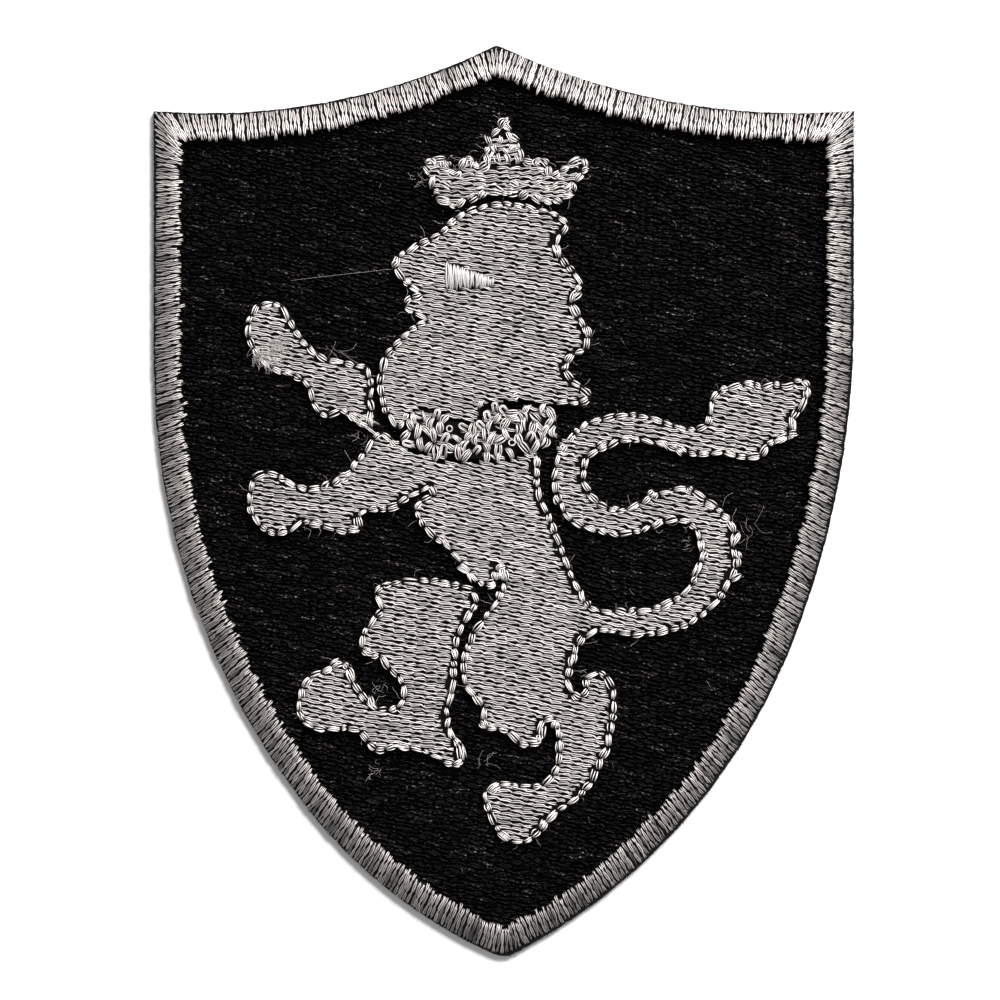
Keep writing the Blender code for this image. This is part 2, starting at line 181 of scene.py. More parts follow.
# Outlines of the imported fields

def level_loops(node, height):
    """Closed outlines of a node at one height, as arrays of x and y, the longest first."""
    mesh = frame["nodes"][node].data
    keys = [tuple(round(c / (0.001 * MM)) for c in v.co) for v in mesh.vertices]
    level = round(height / (0.001 * MM))
    uses = {}
    for face in mesh.polygons:
        corners = [keys[i] for i in face.vertices]
        flat = all(abs(key[2] - level) < 2 for key in corners)
        for a, b in zip(corners, corners[1:] + corners[:1]):
            if abs(a[2] - level) < 2 and abs(b[2] - level) < 2 and a[:2] != b[:2]:
                pair = frozenset((a[:2], b[:2]))
                uses[pair] = uses.get(pair, 0) + (1 if flat else 0)
    neighbours = {}
    for pair, flat_faces in uses.items():
        if flat_faces != 2:
            a, b = tuple(pair)
            neighbours.setdefault(a, []).append(b)
            neighbours.setdefault(b, []).append(a)
    loops = []
    while neighbours:
        start = next(iter(neighbours))
        loop, here = [], start
        while here in neighbours:
            onward = neighbours.pop(here)
            loop.append(here)
            here = next((key for key in onward if key in neighbours), start)
        loops.append(np.array(loop, float) * 0.001 * MM)
    if not loops:
        raise RuntimeError(f"{node} has no outline at {height / MM:.2f} mm")
    return sorted(loops, key=loop_length, reverse=True)


def field_loops(node):
    """The outline of a raised field of the figure, and then those of its openings."""
    return level_loops(node, PLATE_WALL)


def over_fields(*heights):
    """Heights in mm over the tops of the figure's fields, as metres over the patch's back."""
    return tuple(PLATE_TOP + height * MM for height in heights)


def loop_length(loop):
    """The way once round a loop."""
    return float(np.linalg.norm(np.roll(loop, -1, axis=0) - loop, axis=1).sum())


def loop_area(loop):
    """The area that a loop encloses, negative when it runs clockwise."""
    x, y = loop.T
    return 0.5 * float(np.sum(x * np.roll(y, -1) - np.roll(x, -1) * y))


def normed(vectors):
    """The same vectors, each with a length of one."""
    return vectors / np.maximum(np.linalg.norm(vectors, axis=-1, keepdims=True), 1e-12)


def headings(angles):
    """Unit vectors at these angles, counted from +X to the left."""
    return np.column_stack([np.cos(angles), np.sin(angles)])


def leftward(vectors):
    """Flat vectors turned a quarter round to the left."""
    return np.column_stack([-vectors[:, 1], vectors[:, 0]])


def closed_run(loop):
    """A loop with its first point again at its end, and how far along it each point lies."""
    closed = np.vstack([loop, loop[:1]])
    return closed, np.concatenate([[0], np.cumsum(np.linalg.norm(np.diff(closed, axis=0), axis=1))])


def read_along(places, run, closed):
    """The points that lie this far along a closed line."""
    return np.stack([np.interp(places, run, closed[:, axis]) for axis in (0, 1)], axis=-1)


def resample(loop, step):
    """The closed loop again, with evenly spaced points, anticlockwise."""
    if loop_area(loop) < 0:
        loop = loop[::-1]
    closed, run = closed_run(loop)
    places = np.linspace(0, run[-1], max(8, round(run[-1] / step)), endpoint=False)
    return read_along(places, run, closed)


def smooth_around(values, reach):
    """Values along a closed line, averaged over a rounded window of this many points to each side."""
    window = np.hanning(2 * reach + 3)[1:-1]
    window /= window.sum()
    padded = np.concatenate([values[-reach:], values, values[:reach]])
    return np.column_stack([np.convolve(padded[:, c], window, "valid") for c in range(values.shape[1])])


def inward_normals(loop, reach):
    """Unit vectors to the inside of an anticlockwise loop, turned smoothly at its corners."""
    inward = leftward(np.roll(loop, -1, axis=0) - np.roll(loop, 1, axis=0))
    return normed(smooth_around(normed(inward), reach))


def inside(points, loops):
    """Which points lie inside the outlines, where a loop within a loop is a hole."""
    x, y = points[:, 0, None], points[:, 1, None]
    odd = np.zeros(len(points), bool)
    for loop in loops:
        a, b = loop, np.roll(loop, -1, axis=0)
        rise = np.where(b[:, 1] == a[:, 1], 1e-12, b[:, 1] - a[:, 1])
        spans = (a[:, 1] > y) != (b[:, 1] > y)
        meets = a[:, 0] + (y - a[:, 1]) * (b[:, 0] - a[:, 0]) / rise
        odd ^= (np.count_nonzero(spans & (x < meets), axis=1) % 2).astype(bool)
    return odd


def distance_to(points, loops):
    """Distance of each point to the nearest outline."""
    best = np.full(len(points), 1e9)
    for loop in loops:
        a, along = loop, np.roll(loop, -1, axis=0) - loop
        length = np.maximum(np.sum(along**2, axis=1), 1e-18)
        for first in range(0, len(points), 2000):
            part = points[first : first + 2000]
            offset = part[:, None] - a
            share = np.clip(np.sum(offset * along, axis=2) / length, 0, 1)
            gap = np.linalg.norm(offset - share[..., None] * along, axis=2).min(axis=1)
            best[first : first + 2000] = np.minimum(best[first : first + 2000], gap)
    return best


# Threads as meshes

class Threads:
    """Threads of oval section, gathered batch by batch and then made into one mesh."""

    def __init__(self, name, sides):
        self.name = name
        self.sides = sides
        self.batches = []

    def add(self, paths, half_width, half_height, tint):
        """paths is threads by points by three; the half sizes and the tint go with its points."""
        shape = paths.shape[:2]
        if np.ndim(tint) == 1:
            tint = tint[:, None]
        wide = np.broadcast_to(half_width, shape)
        high = np.broadcast_to(half_height, shape)
        self.batches.append((paths, wide, high, np.broadcast_to(tint, shape)))

    def rings(self, paths, wide, high):
        """The points round each thread, and how near each lies to its crest."""
        tangent = normed(np.gradient(paths, axis=1))
        side = normed(np.stack([-tangent[..., 1], tangent[..., 0], np.zeros(paths.shape[:2])], axis=2))
        up = np.cross(tangent, side)
        angle = math.pi / 2 + 2 * math.pi * np.arange(self.sides) / self.sides
        out = side[:, :, None] * (np.cos(angle)[:, None] * wide[..., None, None])
        out = out + up[:, :, None] * (np.sin(angle)[:, None] * high[..., None, None])
        return paths[:, :, None] + out, np.broadcast_to(np.sin(angle), out.shape[:3])

    def build(self, material, node=None):
        """One piece of all the threads, with a map along and around each thread."""
        points, crests, tints, corners, starts, maps = [], [], [], [], [], []
        first_point, first_corner, s = 0, 0, self.sides
        around = np.arange(s)
        for paths, wide, high, tint in self.batches:
            count, length = paths.shape[:2]
            rings, crest = self.rings(paths, wide, high)
            points.append(rings.reshape(-1, 3))
            crests.append(crest.reshape(-1))
            tints.append(np.repeat(tint.reshape(-1), s))
            ring = first_point + s * np.arange(count * length).reshape(count, length)
            here, there = ring[:, :-1, None], ring[:, 1:, None]
            after = (around + 1) % s
            walls = np.stack([here + around, here + after, there + after, there + around], axis=3)
            steps = np.linalg.norm(np.diff(paths, axis=1), axis=2)
            run = np.concatenate([np.zeros((count, 1)), np.cumsum(steps, axis=1)], axis=1) / MM
            u = np.stack([run[:, :-1], run[:, :-1], run[:, 1:], run[:, 1:]], axis=2)
            v = np.stack([around, around + 1, around + 1, around], axis=1) / s
            uv = np.empty(walls.shape + (2,))
            uv[..., 0] = u[:, :, None]
            uv[..., 1] = v
            ends = np.concatenate([ring[:, 0, None] + around[::-1], ring[:, -1, None] + around])
            end_uv = np.empty(ends.shape + (2,))
            end_uv[..., 0] = np.concatenate([run[:, 0], run[:, -1]])[:, None]
            end_uv[..., 1] = 0.5
            corners += [walls.reshape(-1), ends.reshape(-1)]
            maps += [uv.reshape(-1, 2), end_uv.reshape(-1, 2)]
            starts.append(first_corner + 4 * np.arange(walls.size // 4))
            first_corner += walls.size
            starts.append(first_corner + s * np.arange(len(ends)))
            first_corner += ends.size
            first_point += count * length * s
        mesh = bpy.data.meshes.new(self.name)
        for data, key, parts, kind, width in (
            (mesh.vertices, "co", points, np.float32, 3),
            (mesh.loops, "vertex_index", corners, np.int32, 1),
            (mesh.polygons, "loop_start", starts, np.int32, 1),
        ):
            values = np.concatenate(parts).astype(kind).reshape(-1)
            data.add(len(values) // width)
            data.foreach_set(key, values)
        for label, parts in ((TINT, tints), (CREST, crests)):
            attribute = mesh.attributes.new(label, "FLOAT", "POINT")
            attribute.data.foreach_set("value", np.concatenate(parts).astype(np.float32))
        layer = mesh.uv_layers.new(name=THREAD_MAP)
        layer.data.foreach_set("uv", np.concatenate(maps).astype(np.float32).reshape(-1))
        mesh.update(calc_edges=True)
        mesh.shade_smooth()
        return add_piece(self.name, mesh, material, node)


def add_piece(name, mesh, material, node=None):
    """A piece that rides with the patch's one body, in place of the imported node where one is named."""
    piece = bpy.data.objects.new(name, mesh)
    mesh.materials.append(material)
    patch_collection().objects.link(piece)
    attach(piece, BODY)
    if node:
        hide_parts(node)
    return piece


def patch_collection():
    """The one collection of the patch's pieces."""
    found = bpy.data.collections.get(COLLECTION)
    if found is None:
        found = bpy.data.collections.new(COLLECTION)
        bpy.context.scene.collection.children.link(found)
    return found


def with_height(flat, height):
    """Flat paths of x and y with a height for each point."""
    return np.concatenate([flat, np.broadcast_to(height, flat.shape[:2])[..., None]], axis=2)


# Ways of stitching

def row_drift(x, y):
    """How far the fill rows wander from straight lines, as the hoop and the pull of the thread leave them."""
    wide = 0.26 * np.sin(x / (6.8 * MM) + y / (11 * MM))
    close = 0.11 * np.sin(y / (5.9 * MM) - x / (3.7 * MM) + 1.3)
    return (wide + close) * MM


def row_y(x, row, slope):
    """The height on the shield of a fill row at x. A row goes down to the right."""
    y = row - slope * x
    for _ in range(3):
        y = row - slope * x - row_drift(x, y)
    return y


def row_spans(loops, row, slope):
    """Where a fill row enters and leaves the outlines: x and the number of the outline, in order of x."""
    meets = []
    for number, loop in enumerate(loops):
        level = loop[:, 1] + slope * loop[:, 0] + row_drift(loop[:, 0], loop[:, 1]) - row
        onward = np.roll(level, -1)
        crossing = (level > 0) != (onward > 0)
        share = level[crossing] / (level[crossing] - onward[crossing])
        x = loop[:, 0]
        meets += [(place, number) for place in x[crossing] + share * (np.roll(x, -1) - x)[crossing]]
    meets.sort()
    return list(zip(meets[::2], meets[1::2]))


def row_stitches(loops, look, trims, rng):
    """Fill rows cut at the needle points: row, first x, last x and parity of each stitch.

    Two rows lie close together and then a wider gap follows. Each stitch is two cells long, and the
    next row's stitches start one cell later, as bricks do. Only the outermost outline is trimmed to."""
    cell, slope, pitches = look["cell"], look["slope"], look["pitches"]
    shortest, clear = 0.4 * cell, 0.35 * cell
    loops = [resample(loop, 0.2 * MM) for loop in loops]
    levels = np.concatenate([p[:, 1] + slope * p[:, 0] + row_drift(p[:, 0], p[:, 1]) for p in loops])
    pair = sum(pitches)
    stitches = []
    for index in range(2 * math.floor(levels.min() / pair), 2 * math.ceil(levels.max() / pair) + 2):
        row = (index // 2) * pair + (index % 2) * pitches[0]
        for (left, left_loop), (right, right_loop) in row_spans(loops, row, slope):
            left += trims[0] * rng.uniform(0.4, 1.5) * (left_loop == 0)
            right -= trims[1] * rng.uniform(0.4, 1.5) * (right_loop == 0)
            if right - left < shortest:
                continue
            shift = CELL_LEAN * row
            first = math.floor((left - shift) / cell)
            last = math.ceil((right - shift) / cell)
            points = [shift + cell * n for n in range(first, last + 1) if (n + index) % 2 == 0]
            points = [x for x in points if left + clear < x < right - clear]
            cuts = [left] + points + [right]
            stitches += [(row, a, b, index % 2) for a, b in zip(cuts, cuts[1:])]
    return np.array(stitches)


def lay_rows(threads, stitches, look, heights, rng):
    """Fill stitches of one ply or two. The rows of a pair draw together at the needle points, so that
    short dark gaps open there to the next pair."""
    low, high = heights
    cell, lap, needle_reach = look["cell"], 0.06 * MM, 0.15 * MM
    rising, falling = 0.84, 0.16
    for short in (True, False):
        chosen = stitches[(stitches[:, 2] - stitches[:, 1] < 1.3 * cell) == short]
        if not len(chosen):
            continue
        count = len(chosen)
        along = np.linspace(0, 1, look["points"] // 2 + 1 if short else look["points"])
        row, left, right, parity = (chosen[:, column, None] for column in range(4))
        x = (left - lap) + (right - left + 2 * lap) * along
        phase = (x - CELL_LEAN * row) / cell + rng.normal(0, 0.05, (count, 1))
        phase = phase - np.floor(phase)
        step = np.where(phase < rising, phase / rising, (1 - phase) / falling) * 2 - 1
        near = np.exp(-((np.minimum(phase, 1 - phase) * cell / needle_reach) ** 2))
        pull = (2 * parity - 1) * look["pull"] * near
        swing = rng.uniform(0.5, 1.5, (count, 1))
        wobble = np.sin(2 * math.pi * (along * swing + rng.random((count, 1))))
        y = row_y(x, row, look["slope"]) + look["settle"] * step + pull + look["wobble"] * wobble
        ends = np.abs(2 * along - 1)
        dip = (high - low) * rng.uniform(0.25, 1.0, (count, 1)) * ends**7
        z = high - dip + rng.normal(0, 0.02 * MM, (count, 1))
        if look["plies"] == 1:
            wide = look["ply"] * (0.8 + 0.2 * (1 - ends**6)) * rng.uniform(0.9, 1.08, (count, 1))
            # Most ground stitches stay dark and a few are much brighter: random tone, and painted highlights
            # standing in for the shine on some stitches
            tint = 7 * rng.random(count) ** 6 - 1.3
            threads.add(with_height(np.stack([x, y], axis=2), z), wide, look["thick"], tint)
            continue
        turn = 2 * math.pi * ((x - left) / look["turn"] + rng.random((count, 1)))
        shared = rng.normal(0, 0.7, count)
        for side in (0.0, math.pi):
            over = np.cos(turn + side)
            over = np.sign(over) * np.abs(over) ** 0.6
            strand_y = y + look["part"] * over
            strand_z = z + look["stack"] * np.sin(turn + side)
            wide = look["ply"] * (0.85 + 0.15 * (1 - ends**6)) * (1 + 0.10 * near)
            wide = wide * rng.uniform(0.9, 1.1, (count, 1))
            tint = shared + rng.normal(0, 0.7, count)
            threads.add(with_height(np.stack([x, strand_y], axis=2), strand_z), wide, look["thick"], tint)


def lay_leaves(threads, spines, plies, spread, half_width, heights, rng, tint=0.0, blunt=(0.1, 0.6)):
    """Short stitches of a few strands side by side, which draw together more or less at the ends."""
    if not len(spines):
        return
    count, length = spines.shape[:2]
    share = np.linspace(0, 1, length)
    heading = normed(spines[:, -1] - spines[:, 0])
    across = leftward(heading)[:, None]
    heading = heading[:, None]
    low, high = heights
    stray, twist, sag = 0.05 * MM, 0.07 * MM, 0.07 * MM
    fullness = rng.uniform(0.65, 1.3, (count, 1))
    widest = rng.uniform(0.35, 0.65, (count, 1))
    swell = np.sin(math.pi * share ** (math.log(0.5) / np.log(widest)))
    apart = rng.uniform(*blunt, (count, 1))
    shape = apart + (1 - apart) * np.abs(swell) ** 0.8
    arch = np.sin(math.pi * share) ** 0.5
    for ply in np.linspace(-1, 1, plies):
        aside = (ply + rng.normal(0, 0.16, (count, 1))) * spread * fullness * shape
        aside = aside + rng.normal(0, stray, (count, 1)) * (share - 0.5)
        along = rng.normal(0, stray, (count, 1)) + rng.normal(0, twist, (count, 1)) * (share - 0.5)
        flat = spines + across * aside[..., None] + heading * along[..., None]
        lift = rng.normal(0, stray, (count, 1)) - sag * abs(ply)
        z = low + (high - low + lift) * arch
        wide = half_width * (0.5 + 0.5 * arch) * rng.uniform(0.8, 1.15, (count, 1))
        threads.add(with_height(flat, z), wide, wide, tint + rng.normal(0, 1.0, count))


def inset_path(loop, loops, inset):
    """A line just inside a field's outline, left out where the field is too narrow for it."""
    fine = resample(loop, 0.06 * MM)
    path = fine + inset * inward_normals(fine, 4)
    return path[(distance_to(path, loops) > 0.93 * inset) & inside(path, loops)]


def path_spines(path, stitch, gap, length, rng, bend=0.4):
    """The spines of the stitches that go round a closed line, each nearly straight."""
    closed, run = closed_run(path)
    count = max(3, round(run[-1] / stitch))
    cuts = (np.arange(count + 1) + rng.uniform(-0.28, 0.28, count + 1)) * run[-1] / count
    cuts[-1] = cuts[0] + run[-1]
    share = np.linspace(0, 1, length)
    starts, ends = cuts[:-1, None] + gap, cuts[1:, None] - gap
    places = (starts + (ends - starts) * share) % run[-1]
    curved = read_along(places, run, closed)
    straight = curved[:, :1] + (curved[:, -1:] - curved[:, :1]) * share[:, None]
    spines = straight + bend * (curved - straight)
    spans = np.linalg.norm(spines[:, -1] - spines[:, 0], axis=1)
    return spines[(spans > 0.3 * stitch) & (spans < 1.7 * stitch)]


def scattered(loops, spacing, rng, tries=4000):
    """Points inside the outlines that keep a distance from each other."""
    low = np.min([loop.min(axis=0) for loop in loops], axis=0)
    high = np.max([loop.max(axis=0) for loop in loops], axis=0)
    darts = rng.uniform(low, high, (tries, 2))
    darts = darts[inside(darts, loops)]
    kept = np.empty((0, 2))
    for dart in darts:
        if not len(kept) or np.linalg.norm(kept - dart, axis=1).min() > spacing:
            kept = np.vstack([kept, dart])
    return kept


def straight_spines(centres, angles, lengths, count, rng, curl):
    """Short spines at these places, each bent a little to one side."""
    share = np.linspace(-0.5, 0.5, count)
    heading = headings(angles)
    size = np.broadcast_to(lengths, len(centres))[:, None, None]
    bend = rng.normal(0, curl, (len(centres), 1, 1)) * size
    path = centres[:, None] + heading[:, None] * share[:, None] * size
    return path + leftward(heading)[:, None] * bend * (1 - 4 * share[:, None] ** 2)


def hair_paths(starts, angles, lengths, heights, count, rng, curl=1.0):
    """Fine loose fibres: each wanders from its start and ends a little higher or lower."""
    share = np.linspace(0, 1, count)
    bow = rng.normal(0, curl, (len(starts), 1)) * share
    wave = rng.normal(0, 0.6 * curl, (len(starts), 1)) * (np.sin(2 * math.pi * share) * 0.5)
    heading = (angles[:, None] + (bow + wave))[:, :-1]
    step = (np.broadcast_to(lengths, len(starts)) / (count - 1))[:, None]
    walk = np.cumsum(np.stack([np.cos(heading) * step, np.sin(heading) * step], axis=2), axis=1)
    flat = starts[:, None] + np.concatenate([np.zeros((len(starts), 1, 2)), walk], axis=1)
    low, high = heights
    z = low + (high - low) * np.sin(math.pi * share * rng.uniform(0.4, 1.0, (len(starts), 1)))
    return with_height(flat, z)


def edge_hairs(edge, lengths, heights, count, points, rng, smoothing, spread, depth):
    """Loose fibres that stand out from an outline at places that chance picks. lengths is their usual
    length with its least and greatest share, and depth is how far inside the outline they start."""
    picks = rng.integers(0, len(edge), count)
    outward = -inward_normals(edge, smoothing)[picks]
    angles = np.arctan2(outward[:, 1], outward[:, 0]) + rng.normal(0, spread, count)
    usual, *shares = lengths
    sizes = usual * rng.uniform(*shares, count)
    return hair_paths(edge[picks] - outward * depth, angles, sizes, heights, points, rng)


# Materials

class Graph:
    """The nodes of a material or a group, with short ways to add and link them."""

    def __init__(self, tree):
        self.nodes = tree.nodes
        self.links = tree.links

    def give(self, node, values):
        """Set or link a node's inputs, each by its name or number."""
        for key, value in values.items():
            if isinstance(value, bpy.types.NodeSocket):
                self.links.new(value, node.inputs[key])
            elif value is not None:
                node.inputs[key].default_value = value

    def add(self, kind, *values, output=0, **options):
        """One output of a new node whose inputs take these values in order."""
        node = self.nodes.new(kind)
        for key, value in options.items():
            setattr(node, key, value)
        self.give(node, dict(enumerate(values)))
        return node.outputs[output]

    def math(self, operation, *values):
        return self.add("ShaderNodeMath", *values, operation=operation)

    def times(self, first, second):
        return self.math("MULTIPLY", first, second)

    def plus(self, first, second):
        return self.math("ADD", first, second)

    def line(self, value, slope, start):
        """The value times the slope, plus the start."""
        return self.plus(self.times(value, slope), start)

    def ranged(self, value, low, high, to_low=0.0, to_high=1.0):
        limits = (low, high, to_low, to_high)
        return self.add("ShaderNodeMapRange", value, *limits, interpolation_type="SMOOTHSTEP")

    def noise(self, place, scale=1.0, detail=2.0):
        return self.add("ShaderNodeTexNoise", place, None, scale, detail)

    def parts(self, vector):
        """The vector's x, y and z."""
        return list(self.add("ShaderNodeSeparateXYZ", vector).node.outputs)

    def scaled(self, colour, gain):
        """The colour made brighter or darker."""
        return self.add("ShaderNodeVectorMath", colour, None, None, gain, operation="SCALE")

    def bump(self, height, distance, strength):
        node = self.nodes.new("ShaderNodeBump")
        self.give(node, {"Height": height, "Distance": distance, "Strength": strength})
        return node.outputs["Normal"]


def spun_thread_group():
    """Colour, roughness and height of a twisted two-ply thread.

    The thread map runs in millimetres along each thread and once around it. The crest of a thread is smooth
    and painted bright, a painted highlight; its flanks are painted dark, as painted shade where it lies
    against the next one."""
    name = "Spun Thread"
    if name in bpy.data.node_groups:
        return bpy.data.node_groups[name]
    group = bpy.data.node_groups.new(name, "ShaderNodeTree")
    socket = group.interface.new_socket(name="Colour", in_out="INPUT", socket_type="NodeSocketColor")
    socket.default_value = (0.5, 0.5, 0.5, 1.0)
    usual = {"Flank Shade": 0.8, "Tint Spread": 0.1, "Turns": 0.9, "Twist Depth": 0.3, "Flecks": 0.0}
    for label, value in usual.items():
        socket = group.interface.new_socket(name=label, in_out="INPUT", socket_type="NodeSocketFloat")
        socket.default_value = value
    group.interface.new_socket(name="Colour", in_out="OUTPUT", socket_type="NodeSocketColor")
    for label in ("Roughness", "Height"):
        group.interface.new_socket(name=label, in_out="OUTPUT", socket_type="NodeSocketFloat")
    taken = group.nodes.new("NodeGroupInput").outputs
    graph = Graph(group)
    along, around, _ = graph.parts(graph.add("ShaderNodeUVMap", uv_map=THREAD_MAP))

    # The two plies wind round each other: twice round in the map for each turn along
    turned = graph.times(along, taken["Turns"])
    wound = graph.plus(turned, graph.times(around, 2.0))
    wave = graph.math("SINE", graph.times(wound, 2 * math.pi))
    groove = graph.ranged(graph.math("ABSOLUTE", wave), 0.0, 0.55)

    # Fibres: noise drawn out along the thread, finer across than along
    tint = graph.add("ShaderNodeAttribute", attribute_name=TINT, output="Fac")
    across = graph.line(around, 6.0, turned)
    fibres = graph.add("ShaderNodeCombineXYZ", graph.times(along, 1.6), across, graph.times(tint, 7.0))
    fibre = graph.ranged(graph.noise(fibres), 0.3, 0.7)

    # Painted highlight on each thread's crest and painted shade down its flanks: the colour falls off from
    # the crest by Flank Shade
    crest = graph.add("ShaderNodeAttribute", attribute_name=CREST, output="Fac")
    lit = graph.ranged(crest, 0.5, 1.0)
    shade = graph.ranged(lit, 0.0, 1.0, graph.math("SUBTRACT", 1.0, taken["Flank Shade"]), 1.0)
    gain = graph.times(shade, graph.line(tint, taken["Tint Spread"], 1.0))
    gain = graph.times(gain, graph.line(fibre, 0.5, 0.75))
    # Painted shade: the colour is a little darker in the grooves between the twisted plies
    gain = graph.times(gain, graph.line(groove, 0.18, 0.82))

    # Painted glints: short pale spots that lie along the rows and take no notice of single threads; they
    # stand in for the shine on the ridges of the rows
    x, y, _ = graph.parts(graph.add("ShaderNodeTexCoord", output="Object"))
    level = graph.plus(y, graph.times(x, ROW_SLOPE))
    glint_length, glint_height = 0.30 * MM, 0.13 * MM
    across, up = graph.times(x, 1 / glint_length), graph.times(level, 1 / glint_height)
    place = graph.add("ShaderNodeCombineXYZ", across, up)
    pale = graph.ranged(graph.noise(place, detail=1.0), 0.58, 0.76, 0.0, taken["Flecks"])
    gain = graph.times(gain, graph.plus(pale, 1.0))

    relief = graph.plus(graph.times(groove, taken["Twist Depth"]), graph.times(fibre, 0.22))
    given = {
        "Colour": graph.scaled(taken["Colour"], gain),
        "Roughness": graph.line(fibre, 0.14, 0.24),
        "Height": relief,
    }
    graph.give(group.nodes.new("NodeGroupOutput"), given)
    return group


def principled(name, specular, sheen=0.0, sheen_roughness=0.4):
    """A material whose Principled BSDF is ready for the varying inputs."""
    material = bpy.data.materials.new(name)
    material.use_nodes = True
    shader = material.node_tree.nodes["Principled BSDF"]
    graph = Graph(material.node_tree)
    constants = {"Specular IOR Level": specular, "Sheen Weight": sheen, "Sheen Roughness": sheen_roughness}
    graph.give(shader, constants)
    return material, graph, shader


def thread_material(name, colour, shade, spread, specular=1.0, sheen=0.15, flecks=0.0):
    """Spun thread in one colour."""
    if name in bpy.data.materials:
        return bpy.data.materials[name]
    material, graph, shader = principled(name, specular, sheen)
    spun = graph.nodes.new("ShaderNodeGroup")
    spun.node_tree = spun_thread_group()
    looks = {"Colour": (*colour, 1.0), "Flank Shade": shade, "Tint Spread": spread, "Flecks": flecks}
    graph.give(spun, {**looks, "Turns": 0.35, "Twist Depth": 0.25})
    normal = graph.bump(spun.outputs["Height"], 0.02 * MM, 1.0)
    varying = {"Base Color": spun.outputs["Colour"], "Roughness": spun.outputs["Roughness"], "Normal": normal}
    graph.give(shader, varying)
    return material


def cloth_material(name, colour):
    """Black woven cloth with its backing: fine plain weave, a little lint and no shine."""
    if name in bpy.data.materials:
        return bpy.data.materials[name]
    material, graph, shader = principled(name, specular=0.1, sheen=0.1, sheen_roughness=0.5)
    place = graph.add("ShaderNodeTexCoord", output="Object")
    weave_pitch, lint_size = 0.42 * MM, 0.35 * MM
    turns = [graph.times(axis, 2 * math.pi / weave_pitch) for axis in graph.parts(place)[:2]]
    weave = graph.times(graph.math("SINE", turns[0]), graph.math("SINE", turns[1]))
    lint = graph.noise(place, 1.0 / lint_size, 3.0)
    gain = graph.times(graph.ranged(weave, -1.0, 1.0, 0.6, 1.25), graph.ranged(lint, 0.45, 0.75, 0.8, 1.7))
    varying = {
        "Base Color": graph.scaled(colour, gain),
        "Roughness": graph.ranged(lint, 0.2, 0.8, 0.95, 0.75),
        "Normal": graph.bump(weave, 0.05 * MM, 0.8),
    }
    graph.give(shader, varying)
    return material


# Settings that a user would change

def number_setting(name, description, default, **kind):
    return FloatProperty(name=name, description=description, default=default, **kind)


def length_setting(name, description, default):
    kind = {"min": 0.0, "precision": 5, "subtype": "DISTANCE", "unit": "LENGTH"}
    return number_setting(name, description, default, **kind)


def colour_setting(name, description, default):
    return FloatVectorProperty(
        name=name, description=description, default=default, subtype="COLOR", size=3, min=0.0, max=1.0
    )


class ClothSettings(bpy.types.PropertyGroup):
    """The black cloth and the stitches that cover it."""

    colour: colour_setting("Cloth colour", "Colour of the backed cloth", (0.004, 0.0035, 0.004))
    thread_colour: colour_setting("Ground colour", "Colour of its thread", (0.0018, 0.0015, 0.0016))
    # Painted glints: how much paler the spots painted along the ground thread's rows are, in place of their
    # shine
    flecks: number_setting("Flecks", "How much paler the flecks on the ground are", 62.0)
    top: length_setting("Cloth height", "Height of the cloth under its ground stitches", 0.80 * MM)
    row_pitch: length_setting("Row pitch", "Distance between two rows of ground stitches", 0.45 * MM)
    stitch: length_setting("Stitch length", "Length of half a ground stitch", 0.9 * MM)
    fray: length_setting("Fray", "Length of the fibres along the cut edge", 0.22 * MM)


class BorderSettings(bpy.types.PropertyGroup):
    """The satin stitches round the edge."""

    colour: colour_setting("Border colour", "Colour of the border's thread", (0.88, 0.795, 0.765))
    pitch: length_setting("Thread pitch", "Distance between two satin stitches", 0.40 * MM)
    half_width: length_setting("Half ply width", "Half the width of one ply", 0.093 * MM)
    ply_turn: length_setting("Ply turn", "Length in which the two plies wind once round each other", 2.6 * MM)
    outer_height: length_setting("Outer height", "Height at which the threads go round the edge", 0.78 * MM)
    inner_height: length_setting("Inner height", "Height at which the threads turn down again", 1.9 * MM)
    # Painted light: the border threads are painted darker towards the outer edge and brighter towards their
    # inner ends, as the light falls on them
    painted_tip_light: number_setting("Brightening", "How much less worn the threads are at their inner ends", 3.8)
    # Painted shade round the foot and painted light along the top, by how the light falls on each side;
    # darker along the right
    painted_foot_shade: number_setting("Dull foot", "How much duller the threads are round the shield's foot", 1.7)
    painted_head_light: number_setting("Bright head", "How much brighter the threads are along the top", 0.8)
    dull_right: number_setting("Dull right", "How much duller the threads are along the right side", 0.5)
    bare_edge: length_setting("Bare edge", "Width of the cloth outside the threads", 0.17 * MM)
    crown_place: number_setting("Crown place", "Share of the border's width at which it is highest", 0.9)


